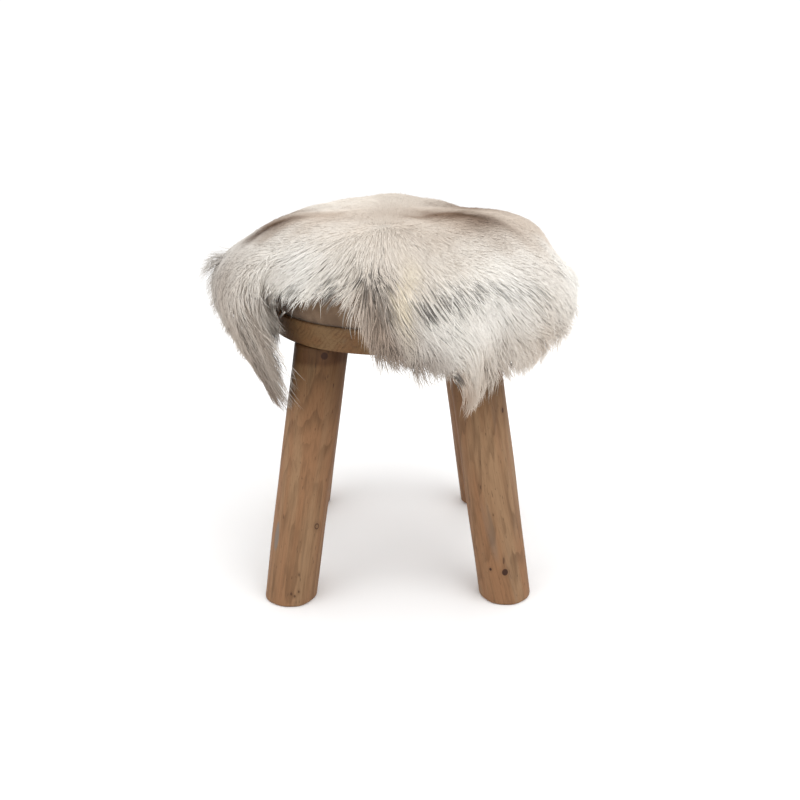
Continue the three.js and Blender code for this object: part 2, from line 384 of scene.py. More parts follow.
def wood_finish(name, depth):
    """Rings round the log's heart, fibres and flecks along it, broad facets of lighter and warmer wood."""
    material, tree, shader = finish(name, roughness=0.62, specular=0.2)
    light, warm, late, grey, dark = (deeper(one, depth) for one in WOODS)
    log_place = add(tree, "Attribute", {}, attribute_name="log").outputs["Vector"]
    split_log = add(tree, "SeparateXYZ", {0: log_place})
    flat_log = add(tree, "CombineXYZ", {0: split_log.outputs[0], 1: split_log.outputs[1]}).outputs[0]
    from_heart = add(tree, "VectorMath", {0: flat_log}, operation="LENGTH").outputs["Value"]
    grain = {}
    for key, (along, scale, detail) in GRAINS.items():
        grain[key] = noise(tree, stretched(tree, log_place, along), scale, detail)
    waved = calc(tree, "MULTIPLY", grain["waver"], RING_WAVER)
    ring_part = calc(tree, "FRACT", calc(tree, "MULTIPLY_ADD", from_heart, RINGS_A_METRE, waved))
    ring_end = between(tree, ring_part, 1.0, LATE_WOOD_ENDS)
    late_wood = calc(tree, "MULTIPLY", between(tree, ring_part, LATE_WOOD_FROM, LATE_WOOD_FULL), ring_end)
    late_here = calc(tree, "MULTIPLY", late_wood, between(tree, grain["cloud"], 0.35, 0.65))
    # where a layer shows, how strongly, its colour
    layers = (
        (between(tree, grain["facet"], 0.38, 0.6), 1.0, warm),
        (late_here, 0.55, late),
        (between(tree, grain["stripe"], 0.5, 0.72), 0.4, late),
        (between(tree, grain["fibre"], 0.42, 0.75), 0.35, late),
        (between(tree, grain["weather"], 0.6, 0.8), 0.5, grey),
        (between(tree, grain["fleck"], 0.69, 0.76), 0.6, dark),
    )
    colour = light
    for share, strength, layer in layers:
        colour = blend(tree, calc(tree, "MULTIPLY", share, strength), colour, layer)
    fibre_relief = calc(tree, "MULTIPLY", grain["fibre"], FIBRE_RELIEF)
    relief = calc(tree, "ADD", fibre_relief, calc(tree, "MULTIPLY", late_wood, RING_RELIEF))
    rough = add(tree, "MapRange", {"Value": grain["fibre"], "To Min": 0.5, "To Max": 0.72}).outputs["Result"]
    tree.links.new(rough, shader.inputs["Roughness"])
    return material, tree, shader, colour, relief


shaded_seat_wood, *seat_nodes = wood_finish("shaded_seat_wood", SEAT_DEPTH_AND_SHADE)
dress(*seat_nodes, **WOOD_BUMP)
seat_board.data.materials.append(shaded_seat_wood)
print("seat wood keeps", SEAT_DEPTH_AND_SHADE, "of its red, green and blue")

# %% [markdown]
# The poles also have knots, some with a dark heart and some only a ring, small chips near a foot, and a strip
# of grey inner bark that the knife left. Their tops are darker by painted shade: a long soft band and a short
# darker one where the seat's shadow falls. A mark has a place on its pole, half a width, half a height, and
# how dark its heart and ring are.

# %% Knots on the poles
# pole, level, turn from its outward side, half width, half height, heart, ring
MARKS = (
    ("front_left", 294.7, 56.0, 4.6, 4.6, 0.9, 0.5),
    ("front_left", 95.6, 86.0, 3.6, 4.6, 0.1, 0.95),
    ("front_left", 180.0, -120.0, 4.0, 5.0, 0.8, 0.6),
    ("front_left", 17.0, 46.0, 1.4, 2.4, 0.6, 0.0),
    ("front_left", 14.0, 54.0, 1.6, 2.0, 0.6, 0.0),
    ("front_left", 19.0, 62.0, 1.4, 2.6, 0.6, 0.0),
    ("front_left", 40.0, 58.0, 1.2, 2.6, 0.5, 0.0),
    ("front_right", 41.5, -41.0, 4.0, 4.8, 0.95, 0.6),
    ("front_right", 54.0, -41.0, 1.4, 7.0, 0.6, 0.0),
    ("front_right", 43.5, -72.0, 1.9, 2.2, 0.95, 0.0),
    ("front_right", 229.2, 3.0, 2.0, 4.0, 0.8, 0.0),
    ("front_right", 140.0, 110.0, 4.0, 5.0, 0.6, 0.7),
    ("rear_left", 150.0, 10.0, 4.4, 5.2, 0.8, 0.6),
    ("rear_left", 232.0, -70.0, 3.4, 4.0, 0.3, 0.9),
    ("rear_right", 120.0, -20.0, 4.4, 5.2, 0.8, 0.6),
    ("rear_right", 215.0, 50.0, 3.6, 4.2, 0.3, 0.9),
)
# pole, level, turn, half width, half height, strength
BARK_STRIPS = (
    ("front_left", 80.0, -8.0, 4.5, 34.0, 0.85),
    ("rear_left", 190.0, 120.0, 5.0, 40.0, 0.7),
    ("rear_right", 70.0, 70.0, 5.0, 36.0, 0.7),
)
# painted shade under the seat: how far under the seat it begins, how far it is full, tint
SEAT_SHADOW_ON_POLES = (
    (128.0, 0.0, (0.52, 0.49, 0.4, 1.0)),
    (24.0, 16.0, (0.62, 0.52, 0.44, 1.0)),
)
STRIP_EDGE = (1.1, 0.7)
KNOT_EDGE = (1.0, 0.7)
KNOT_RING = (0.45, 0.75)
KNOT_HALO = (2.4, 0.9)
HALO_STRENGTH = 0.3
KNOT_SINKS = 0.4


def on_pole(leg_name, level, turn):
    """The point on a pole's skin at a level and a turn from its outward side, in the frame's metres."""
    lean = math.radians(LEG_FIRST_BEARING + LEG_SPACING * LEG_NAMES.index(leg_name))
    outward = mix(LEG_TOP_RING, LEG_FOOT_RING, 1.0 - level / LEG_HEIGHT)
    outward += LEG_RADIUS * math.cos(math.radians(turn))
    sideways = LEG_RADIUS * math.sin(math.radians(turn))
    x = outward * math.cos(lean) - sideways * math.sin(lean)
    y = outward * math.sin(lean) + sideways * math.cos(lean)
    return np.array([x, y, level]) * MM + AXIS


def away_from(tree, here, place, half_width, half_height):
    """Distance from a place, counted in half widths sideways and half heights up and down."""
    offset = add(tree, "VectorMath", {0: here, 1: place}, operation="SUBTRACT").outputs[0]
    per = (1.0 / (half_width * MM), 1.0 / (half_width * MM), 1.0 / (half_height * MM))
    counted = add(tree, "VectorMath", {0: offset, 1: per}, operation="MULTIPLY").outputs[0]
    return add(tree, "VectorMath", {0: counted}, operation="LENGTH").outputs["Value"]


pole_wood, tree, shader, colour, relief = wood_finish("pole_wood", POLE_DEPTH)
here = add(tree, "TexCoord", {}).outputs["Object"]
level_here = add(tree, "SeparateXYZ", {0: here}).outputs[2]
# painted shade: the seat's shadow darkens the tops of the poles
for begins, full, tint in SEAT_SHADOW_ON_POLES:
    seat_shadow_share = between(tree, level_here, (LEG_HEIGHT - begins) * MM, (LEG_HEIGHT - full) * MM)
    colour = blend(tree, seat_shadow_share, colour, tint, "MULTIPLY")
for leg_name, level, turn, half_width, half_height, strength in BARK_STRIPS:
    away = away_from(tree, here, on_pole(leg_name, level, turn), half_width, half_height)
    strip = calc(tree, "MULTIPLY", between(tree, away, *STRIP_EDGE), strength)
    colour = blend(tree, strip, colour, WOOD_GREY)
for leg_name, level, turn, half_width, half_height, heart_dark, ring_dark in MARKS:
    away = away_from(tree, here, on_pole(leg_name, level, turn), half_width, half_height)
    core = between(tree, away, *KNOT_EDGE)
    ring = calc(tree, "MULTIPLY", core, between(tree, away, *KNOT_RING))
    halo = calc(tree, "MULTIPLY", between(tree, away, *KNOT_HALO), HALO_STRENGTH)
    colour = blend(tree, halo, colour, WOOD_LATE)
    colour = blend(tree, calc(tree, "MULTIPLY", core, heart_dark), colour, KNOT_DARK)
    colour = blend(tree, calc(tree, "MULTIPLY", ring, ring_dark), colour, KNOT_DARK)
    relief = calc(tree, "SUBTRACT", relief, calc(tree, "MULTIPLY", core, KNOT_SINKS))
dress(tree, shader, colour, relief, **WOOD_BUMP)
for pole in legs.values():
    pole.data.materials.append(pole_wood)
print("pole wood with", len(MARKS), "knots and chips and", len(BARK_STRIPS), "strips of bark")

# %% [markdown]
# ## Pad
# Between the disc and the hide lies a thick round pad, of which only a band of brown cloth shows at the
# front left. It is a filled form: drawn in at its base, fullest low down, with a round shoulder and a low
# crown, and flat where it rests on the disc. The profile is the CAD pad's own, with small puckers.

# %% The pad's shape
PAD_RADIUS = 149.0
PAD_FLAT_RADIUS = 78.0
PAD_CROWN = 2.0
PAD_SHOULDER_HEIGHT = 46.0
PAD_DRAWN_IN = 3.0
PAD_BULGE_AT = 0.4
PAD_COLUMNS = 216
PAD_SIDE_STEPS = 14
PAD_SHOULDER_STEPS = 20
PAD_BASE_SHARES = np.array([0.2, 0.5, 0.8])
PAD_CROWN_SHARES = np.array([0.75, 0.45, 0.2])
PUCKERS = 54
PUCKER_DEPTH = 0.35
PUCKER_LEVEL = 3.0
PUCKER_HEIGHT = 7.0
PUCKER_WANDERS = 3.0


def pad_rings():
    """A pad's profile carried round: straight base, bulging side, elliptic shoulder, low crown."""
    shoulder_base = PAD_TOP - PAD_SHOULDER_HEIGHT
    base_radius = PAD_BASE_SHARES * PAD_RADIUS
    base = np.stack([base_radius, np.full(len(base_radius), PAD_BASE)], axis=-1)
    up = np.linspace(0.0, 1.0, PAD_SIDE_STEPS)
    bulge = np.where(up < PAD_BULGE_AT, np.sin(up / PAD_BULGE_AT * np.pi / 2), 1.0)
    side = np.stack([PAD_RADIUS - PAD_DRAWN_IN * (1.0 - bulge), mix(PAD_BASE, shoulder_base, up)], axis=-1)
    turn = np.linspace(0.0, np.pi / 2, PAD_SHOULDER_STEPS)[1:]
    shoulder_radius = mix(PAD_FLAT_RADIUS, PAD_RADIUS, np.cos(turn))
    shoulder_level = shoulder_base + (PAD_SHOULDER_HEIGHT - PAD_CROWN) * np.sin(turn)
    shoulder = np.stack([shoulder_radius, shoulder_level], axis=-1)
    crown_level = PAD_TOP - PAD_CROWN * PAD_CROWN_SHARES
    crown = np.stack([PAD_CROWN_SHARES * PAD_FLAT_RADIUS, crown_level], axis=-1)
    profile = np.concatenate([base, side, shoulder, crown])
    round_turn = np.linspace(0.0, 2.0 * np.pi, PAD_COLUMNS, endpoint=False)
    low_down = np.exp(-((profile[:, 1, None] - PAD_BASE - PUCKER_LEVEL) / PUCKER_HEIGHT) ** 2)
    wander = np.sin(PUCKER_WANDERS * round_turn)
    pucker = PUCKER_DEPTH * low_down * np.cos(PUCKERS * round_turn + wander)
    radius = profile[:, 0, None] - np.abs(pucker)
    z = np.broadcast_to(profile[:, 1, None], radius.shape)
    travelled = np.cumsum(np.hypot(*np.diff(profile, axis=0, prepend=profile[:1]).T))
    weave = np.stack(np.broadcast_arrays(round_turn * PAD_RADIUS, travelled[:, None], 0.0), axis=-1)
    return np.stack([radius * np.cos(round_turn), radius * np.sin(round_turn), z], axis=-1), weave * MM


rings, weave = pad_rings()
round_pad = piece_from_rings("round_pad", rings)
paint(round_pad, "weave", with_ends(weave))
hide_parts("pad")
print("pad of", len(round_pad.data.polygons), "faces")

# %% [markdown]
# The cloth is a tight plain weave in brown, darkened partly as painted shade from the hide that overhangs the
# pad. Two sine waves along the pad's own arc and height give the threads, and their product raises them; slow
# noise keeps the dye from looking printed.

# %% The pad cloth
# both cloth colours: the cloth's own brown, darkened as painted shade from the overhanging hide
CLOTH_BROWN_IN_SHADE = tone(124, 102, 82)
CLOTH_DARK_IN_SHADE = tone(99, 79, 62)
THREADS_A_METRE = 1100.0
THREAD_SHADE = 0.35
DYE_CLOUDS_A_METRE = 60.0
cloth, tree, shader = finish("pad_cloth", roughness=0.88, specular=0.15)
shader.inputs["Sheen Weight"].default_value = 0.15
weave_place = add(tree, "Attribute", {}, attribute_name="weave").outputs["Vector"]
split_weave = add(tree, "SeparateXYZ", {0: weave_place})
thread_turn = 2.0 * math.pi * THREADS_A_METRE
warp = calc(tree, "SINE", calc(tree, "MULTIPLY", split_weave.outputs[0], thread_turn))
weft = calc(tree, "SINE", calc(tree, "MULTIPLY", split_weave.outputs[1], thread_turn))
thread = calc(tree, "MULTIPLY_ADD", calc(tree, "MULTIPLY", warp, weft), 0.5, 0.5)
here = add(tree, "TexCoord", {}).outputs["Object"]
dye = noise(tree, here, DYE_CLOUDS_A_METRE, detail=4.0)
colour = blend(tree, between(tree, dye, low=0.3, high=0.7), CLOTH_BROWN_IN_SHADE, CLOTH_DARK_IN_SHADE)
colour = blend(tree, calc(tree, "MULTIPLY", thread, THREAD_SHADE), colour, CLOTH_DARK_IN_SHADE)
dress(tree, shader, colour, thread, strength=0.35, depth=0.0004)
round_pad.data.materials.append(cloth)
print("pad cloth with", THREADS_A_METRE, "threads a metre")

# %% [markdown]
# ## Hide
# The hide lies flat on the pad, leaves its shoulder at a slope and then hangs. The same rows that shape
# the CAD hide say how, for each lobe, fold and bay: two slopes, where the second begins, how far the hair
# reaches, how deep the pile is, and how far a hanging end swings round. Between rows, values are eased.
# Only the pile differs from the solid's, by a few millimetres: fuller on the right shoulder, flatter behind.

# %% How the hide hangs
OUTLINE_COLUMNS = ("bearing", "leave", "hang", "fold", "reach", "pile", "swing")
OUTLINE = np.array((
    (0, 41, 74, 190, 250, 30, 0),
    (22, 36, 72, 185, 246, 26, 0),
    (45, 31, 76, 175, 268, 23, 0),
    (68, 30, 76, 165, 256, 31, 0),
    (92, 22, 74, 160, 250, 37, 0),
    (115, 25, 78, 165, 258, 33, 0),
    (140, 29, 84, 178, 276, 29, 0),
    (164, 29, 92, 186, 262, 25, 0),
    (182, 30, 102, 184, 274, 26, 0),
    (190, 32, 103, 178, 290, 26, 3),
    (197, 34, 103, 172, 306, 26, 8),
    (203, 36, 102, 166, 338, 26, 11),
    (207, 38, 100, 162, 322, 26, 11),
    (211, 44, 94, 160, 258, 26, 6),
    (217, 50, 90, 160, 206, 26, 0),
    (228, 57, 88, 160, 191, 26, 0),
    (244, 57, 88, 160, 187, 26, 0),
    (252, 53, 86, 160, 204, 28, 0),
    (260, 46, 84, 160, 238, 30, 0),
    (270, 40, 84, 160, 252, 30, 0),
    (282, 36, 87, 160, 272, 30, 0),
    (296, 32, 92, 160, 322, 28, 0),
    (304, 31, 92, 162, 298, 30, 0),
    (318, 31, 88, 165, 278, 32, 0),
    (338, 36, 84, 175, 264, 32, 0),
), float)
HIDE_CLEARANCE = 0.6
HIDE_LEVEL_UNTIL = 92.0
HIDE_EDGE_AT = 155.0
HIDE_BEND_LENGTH = 62.0


def outline_at(bearing):
    """The outline's columns at any bearing, eased from the row before it to the row after it."""
    angle = np.mod(bearing, 360.0)
    before = np.searchsorted(OUTLINE[:, 0], angle, side="right") - 1
    after = (before + 1) % len(OUTLINE)
    end = np.where(after == 0, 360.0, OUTLINE[after, 0])
    share = smooth((angle - OUTLINE[before, 0]) / (end - OUTLINE[before, 0]))
    values = mix(OUTLINE[before], OUTLINE[after], share[..., None])
    return {key: values[..., column] for column, key in enumerate(OUTLINE_COLUMNS)}


def slope_along(row, distance):
    """Degrees below level: the leaving slope past the pad's shoulder, then eased to the hanging slope."""
    leaving = smooth((distance - HIDE_LEVEL_UNTIL) / (HIDE_EDGE_AT - HIDE_LEVEL_UNTIL))
    hanging = smooth((distance - row["fold"]) / HIDE_BEND_LENGTH)
    return row["leave"] * leaving + (row["hang"] - row["leave"]) * hanging


BEARING_STEP = 0.5
DISTANCE_STEP = 1.0
FURTHEST = 430.0
CHART_END = 1.001
chart_bearings = np.arange(0.0, 360.0, BEARING_STEP)
chart_distances = np.arange(0.0, FURTHEST, DISTANCE_STEP)
chart_row = {key: value[:, None] for key, value in outline_at(chart_bearings).items()}
chart_slope = np.radians(slope_along(chart_row, chart_distances))
step_slope = np.radians(slope_along(chart_row, chart_distances[:-1] + DISTANCE_STEP / 2))
start = np.zeros((len(chart_bearings), 1))
chart_radius = np.hstack([start, np.cumsum(np.cos(step_slope), axis=1) * DISTANCE_STEP])
chart_drop = np.hstack([start, np.cumsum(np.sin(step_slope), axis=1) * DISTANCE_STEP])
chart = np.stack([chart_radius, PAD_TOP + HIDE_CLEARANCE - chart_drop, chart_slope])
print("lowest skin", round(float(chart[1].min()), 1), "mm; widest", round(float(chart[0].max()), 1), "mm")

# %% [markdown]
# The sums above are done once, on a chart of bearings and distances along the skin. A place on the hide is
# then given as on the flat skin, in two coordinates from its middle, and draped by looking it up on the
# chart. Hair is laid out on the flat skin in the same way, which keeps its flow simple to describe.

# %% From the flat skin to the draped one
PILE_DEPTH = 32.0
PILE_EVEN_WITHIN = 110.0
PILE_THINS_BY = 5.0
PILE_ROUNDNESS = 0.6
FULLER_BEARING = 2.0
FULLER_DEGREES = 16.0
FULLER_DISTANCE = 150.0
FULLER_LENGTH = 26.0
FULLER_BY = 8.0
# bearing, where it starts, width in degrees, depth
CREASES = (
    (301.5, 190.0, 5.0, 10.0),
    (326.0, 215.0, 4.0, 4.0),
    (346.0, 205.0, 5.0, 4.0),
    (30.0, 200.0, 6.0, 5.0),
    (82.0, 190.0, 6.0, 5.0),
    (128.0, 205.0, 6.0, 5.0),
    (172.0, 205.0, 5.0, 4.0),
)
CREASE_BUILDS_OVER = 45.0


def polar(flat):
    """Bearing in degrees and distance of places on the flat skin."""
    return np.degrees(np.arctan2(flat[..., 1], flat[..., 0])), np.hypot(flat[..., 0], flat[..., 1])


def crease_at(bearing, distance):
    """Depth of the soft troughs: a bell across each one, growing from where it starts."""
    depth = np.zeros(np.shape(bearing))
    for middle, begins, width, deep in CREASES:
        across = np.exp(-(degrees_off(bearing, middle) / width) ** 2)
        depth = depth + deep * across * smooth((distance - begins) / CREASE_BUILDS_OVER)
    return depth


def pile_at(bearing, distance):
    """Depth of the fur square to the skin: even on top, the row's own further out, thinning at the rim.

    On the right shoulder the fur stands fuller, by a bell of the bearing and the distance.
    """
    row = outline_at(bearing)
    share = np.clip(distance / row["reach"], 0.0, 1.0)
    aside = degrees_off(bearing, FULLER_BEARING) / FULLER_DEGREES
    along = (distance - FULLER_DISTANCE) / FULLER_LENGTH
    full = mix(PILE_DEPTH, row["pile"], smooth(distance / PILE_EVEN_WITHIN))
    full = full + FULLER_BY * np.exp(-aside ** 2 - along ** 2)
    return full * (1.0 - share ** PILE_THINS_BY) ** PILE_ROUNDNESS


def drape(flat, height, anchor=None):
    """Places at a height over the flat skin, carried to the draped one by bilinear look-up on the chart.

    A hair that leaves its lobe sideways keeps hanging as its root does: anchor is the bearing of that root.
    """
    bearing, distance = polar(flat)
    anchor = bearing if anchor is None else anchor
    row = outline_at(anchor)
    column = np.mod(anchor, 360.0) / BEARING_STEP
    line = np.clip(distance / DISTANCE_STEP, 0.0, len(chart_distances) - CHART_END)
    left = np.floor(column).astype(int) % len(chart_bearings)
    right = (left + 1) % len(chart_bearings)
    near = np.floor(line).astype(int)
    side, far = column - np.floor(column), line - near
    first = mix(chart[:, left, near], chart[:, left, near + 1], far)
    second = mix(chart[:, right, near], chart[:, right, near + 1], far)
    radius, level, slope = mix(first, second, side)
    raised = height - crease_at(bearing, distance)
    swung = row["swing"] * smooth((distance - HIDE_EDGE_AT) / (row["reach"] - HIDE_EDGE_AT))
    facing = np.radians(bearing + swung)
    out = radius + raised * np.sin(slope)
    up = level + raised * np.cos(slope)
    return np.stack([out * np.cos(facing), out * np.sin(facing), up], axis=-1)


print("creases", len(CREASES), "pile at the middle", pile_at(np.array([0.0]), np.array([0.0])), "mm")

# %% [markdown]
# The skin itself is tanned leather about 2 mm thick. It ends short of the hair, which hangs past its cut
# edge. As a function of bearing and share of the way to the edge it gives one closed sheet: under side out
# from the middle, round the edge, and back along the upper side. Beside the front tuft a notch in the edge
# lets the bay run up to it.

# %% The skin
SKIN_THICKNESS = 2.0
SKIN_SHARE = 0.87
EDGE_ASIDE = 3.0
# depth, waves round the edge, where they start
CUT_WAVES = ((2.5, 17.0, 0.0), (1.8, 29.0, 40.0))
NOTCH_BEARING = 254.0
NOTCH_WIDTH = 5.5
NOTCH_DEPTH = 16.0
SKIN_COLUMNS = 180
SKIN_LINES = 40


def flat_place(bearing, distance):
    """The place on the flat skin at a bearing and a distance from its middle."""
    turn = np.radians(bearing)
    return np.stack([distance * np.cos(turn), distance * np.sin(turn)], axis=-1)


def skin_edge(bearing):
    """Distance of the cut edge: a share of the least reach of hair nearby, plus waves, less the notch."""
    wave = sum(depth * np.sin(np.radians(bearing * waves + begins)) for depth, waves, begins in CUT_WAVES)
    reach = [outline_at(bearing + aside)["reach"] for aside in (-EDGE_ASIDE, 0.0, EDGE_ASIDE)]
    notch = NOTCH_DEPTH * np.exp(-(degrees_off(bearing, NOTCH_BEARING) / NOTCH_WIDTH) ** 2)
    return SKIN_SHARE * np.min(reach, axis=0) + wave - notch


skin_bearings = np.linspace(0.0, 360.0, SKIN_COLUMNS, endpoint=False)
shares = (np.arange(SKIN_LINES) + 1.0) / SKIN_LINES
skin_flat = flat_place(skin_bearings[None, :], shares[:, None] * skin_edge(skin_bearings)[None, :])
under_side = drape(skin_flat, np.zeros(skin_flat.shape[:2]))
upper_side = drape(skin_flat, np.full(skin_flat.shape[:2], SKIN_THICKNESS))
hide_skin = piece_from_rings("hide_skin", np.concatenate([under_side, upper_side[::-1]]))
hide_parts("hide")


# %% [markdown]
# The flesh side of the skin is soft suede, pale and a little blotchy. It shows only from below.

# %% The suede
SUEDE_PALE = tone(206, 190, 168)
SUEDE_DARK = tone(176, 154, 130)
BLOTCHES_A_METRE = 34.0
NAP_A_METRE = 1400.0
NAP_SHADE = 0.25
suede, tree, shader = finish("suede", roughness=0.92, specular=0.12)
shader.inputs["Sheen Weight"].default_value = 0.2
here = add(tree, "TexCoord", {}).outputs["Object"]
blotch = noise(tree, here, BLOTCHES_A_METRE, detail=5.0)
nap = noise(tree, here, NAP_A_METRE, detail=2.0)
colour = blend(tree, between(tree, blotch, low=0.3, high=0.7), SUEDE_PALE, SUEDE_DARK)
colour = blend(tree, calc(tree, "MULTIPLY", nap, NAP_SHADE), colour, SUEDE_DARK)
dress(tree, shader, colour, nap, strength=0.4, depth=0.0005)
hide_skin.data.materials.append(suede)
print("suede on the skin")

# %% [markdown]
# ## Coat
# Winter reindeer fur is cream and white with brown along the back and smoky tips in places. The coat's colour
# is a function of the place on the flat skin: a base, then soft patches, each lying over those before it.
# Streaks say where some of the hairs have dark tips.

# %% The coat's colours
def fur_tone(red, green, blue):
    """A colour of the coat as an array of three linear values."""
    return np.array(tone(red, green, blue)[:3])


CREAM = fur_tone(247, 241, 231)
CHARCOAL = fur_tone(50, 45, 42)
TONES = {
    "white": fur_tone(253, 251, 246),
    "beige": fur_tone(206, 192, 178),
    "umber": fur_tone(120, 94, 74),
    "bark": fur_tone(80, 60, 46),
    "taupe": fur_tone(206, 190, 174),
    "fawn": fur_tone(176, 152, 132),
    "slate": fur_tone(160, 150, 141),
    "straw": fur_tone(250, 236, 204),
}
# some grey, taupe and umber patches below are painted shade where the coat hangs away from the light, partly
# the coat's own darker colour; each is marked
# bearing, distance, length outwards, width, colour, strength
COAT_PATCHES_AND_SHADE = (
    (302.0, 50.0, 120.0, 120.0, "beige", 1.0),
    (80.0, 130.0, 70.0, 130.0, "beige", 0.6),
    (185.0, 190.0, 70.0, 80.0, "white", 0.8),
    (228.0, 155.0, 36.0, 50.0, "white", 0.8),
    (308.0, 188.0, 30.0, 50.0, "white", 0.7),
    # the next three rows: grey coat on the left rim, darkened as painted shade
    (189.0, 204.0, 22.0, 34.0, "slate", 0.7),
    (197.0, 236.0, 44.0, 24.0, "slate", 0.8),
    (200.0, 194.0, 22.0, 20.0, "slate", 0.35),
    (209.0, 276.0, 40.0, 14.0, "umber", 0.55),
    # the next three rows: painted shadow in the bay's corner and along the tongue's inner edge, partly dark
    # hair
    (219.5, 202.0, 12.0, 11.0, "bark", 0.9),
    (213.0, 246.0, 28.0, 10.0, "umber", 0.75),
    (215.0, 222.0, 14.0, 8.0, "umber", 0.7),
    (262.0, 228.0, 24.0, 26.0, "umber", 0.45),
    (269.0, 226.0, 24.0, 24.0, "umber", 0.45),
    (276.0, 212.0, 34.0, 24.0, "beige", 0.7),
    # painted shadow behind the front flap
    (307.0, 276.0, 24.0, 20.0, "umber", 0.4),
    (300.0, 225.0, 50.0, 150.0, "white", 0.45),
    (345.0, 200.0, 60.0, 70.0, "white", 0.9),
    # the next four rows: the tongue's own grey coat, darker low down as painted shade
    (205.0, 275.0, 70.0, 60.0, "taupe", 0.9),
    (208.0, 262.0, 44.0, 34.0, "slate", 0.7),
    (206.0, 312.0, 50.0, 50.0, "slate", 0.9),
    (205.0, 322.0, 44.0, 44.0, "umber", 0.6),
    (189.0, 132.0, 36.0, 30.0, "umber", 1.0),
    (204.0, 128.0, 18.0, 16.0, "umber", 0.5),
    (203.0, 88.0, 45.0, 45.0, "beige", 0.8),
    (200.0, 90.0, 36.0, 30.0, "fawn", 0.35),
    (191.0, 138.0, 26.0, 14.0, "bark", 0.85),
    (166.0, 148.0, 40.0, 40.0, "umber", 0.9),
    (140.0, 176.0, 40.0, 70.0, "umber", 0.8),
    (308.0, 70.0, 26.0, 22.0, "umber", 0.8),
    (303.0, 112.0, 26.0, 24.0, "fawn", 0.4),
    (328.0, 130.0, 44.0, 40.0, "beige", 0.8),
    (326.0, 122.0, 30.0, 22.0, "fawn", 0.1),
    (318.0, 92.0, 42.0, 24.0, "umber", 0.85),
    (324.0, 98.0, 28.0, 13.0, "bark", 0.95),
    (344.0, 90.0, 26.0, 30.0, "umber", 0.45),
    (18.0, 108.0, 46.0, 40.0, "umber", 0.6),
    (30.0, 130.0, 60.0, 60.0, "umber", 0.9),
    (46.0, 168.0, 44.0, 60.0, "bark", 0.5),
    (348.0, 138.0, 36.0, 36.0, "taupe", 0.7),
    (95.0, 205.0, 40.0, 130.0, "umber", 0.7),
    (90.0, 250.0, 40.0, 180.0, "taupe", 0.7),
    (263.0, 206.0, 34.0, 28.0, "fawn", 0.75),
    (284.0, 216.0, 30.0, 30.0, "white", 0.3),
    (273.5, 190.0, 28.0, 8.0, "straw", 0.5),
    # the next two rows: painted shade low on the right rim, partly taupe coat
    (298.0, 290.0, 46.0, 60.0, "taupe", 0.7),
    (322.0, 262.0, 44.0, 80.0, "taupe", 0.75),
    # the next three rows: painted shade on the front rim, partly dark tips
    (268.0, 236.0, 17.0, 24.0, "umber", 0.55),
    (276.0, 246.0, 18.0, 26.0, "umber", 0.6),
    (284.0, 260.0, 18.0, 24.0, "umber", 0.5),
    (292.5, 286.0, 18.0, 14.0, "fawn", 0.75),
)
# bearing, distance, length outwards, width, share of dark tips
STREAKS = (
    (265.0, 192.0, 26.0, 18.0, 0.75),
    (269.0, 218.0, 22.0, 18.0, 0.7),
    (276.0, 232.0, 16.0, 22.0, 0.7),
    (252.0, 186.0, 14.0, 12.0, 0.6),
    (279.0, 198.0, 14.0, 16.0, 0.7),
    (287.0, 200.0, 10.0, 12.0, 0.6),
    (300.0, 190.0, 10.0, 40.0, 0.35),
    (314.0, 206.0, 10.0, 24.0, 0.25),
    (333.0, 198.0, 10.0, 14.0, 0.25),
    (225.0, 190.0, 10.0, 12.0, 0.75),
    (229.0, 176.0, 6.0, 6.0, 0.6),
    (289.0, 274.0, 10.0, 8.0, 0.8),
    (206.0, 300.0, 30.0, 20.0, 0.3),
)
RAGGED_BY = 5.0
WAVE_BEND = 2.0
FINE_WAVE = 0.6
# wave lengths: of the broad wave, of its bend, and of the fine wave across and along
RAGGED_ASIDE = (11.0, 23.0, 6.0, 9.0)
RAGGED_ONWARD = (13.0, 19.0, 7.0, -8.0)


def bell_on_skin(flat, bearing, distance, outward, sideways):
    """A soft oval on the flat skin: a bell of its length along its bearing and its width across."""
    turn = math.radians(bearing)
    away = np.array([math.cos(turn), math.sin(turn)])
    offset = flat - away * distance
    along = offset @ away
    across = offset @ np.array([-away[1], away[0]])
    return np.exp(-(along / outward) ** 2 - (across / sideways) ** 2)


def crossed_waves(along, across, broad, bend, fine_across, fine_along):
    """A broad sine along one axis, bent by one across it, with a share of a finer slanting sine."""
    broad_wave = np.sin(along / broad + WAVE_BEND * np.sin(across / bend))
    return broad_wave + FINE_WAVE * np.sin(across / fine_across + along / fine_along)


def ragged(flat):
    """Places moved a little by crossed waves, so that a patch laid on them has an uneven edge."""
    first, second = flat[..., 0], flat[..., 1]
    aside = crossed_waves(second, first, *RAGGED_ASIDE)
    onward = crossed_waves(first, second, *RAGGED_ONWARD)
    return flat + RAGGED_BY * np.stack([aside, onward], axis=-1)


def coat_colour(flat):
    """Cream, moved towards each patch's colour by its strength times its bell, with ragged edges."""
    colour = np.broadcast_to(CREAM, (*flat.shape[:-1], 3))
    uneven = ragged(flat)
    for bearing, distance, outward, sideways, name, strength in COAT_PATCHES_AND_SHADE:
        weight = strength * bell_on_skin(uneven, bearing, distance, outward, sideways)
        colour = mix(colour, TONES[name], weight[..., None])
    return colour


def streak_share(flat):
    """How many of the hairs here may have dark tips, from 0 to 1: the strongest of the streaks."""
    bells = [share * bell_on_skin(flat, *place) for *place, share in STREAKS]
    return np.max(bells, axis=0)


print("coat of", len(COAT_PATCHES_AND_SHADE), "patches and", len(STREAKS), "streaks")
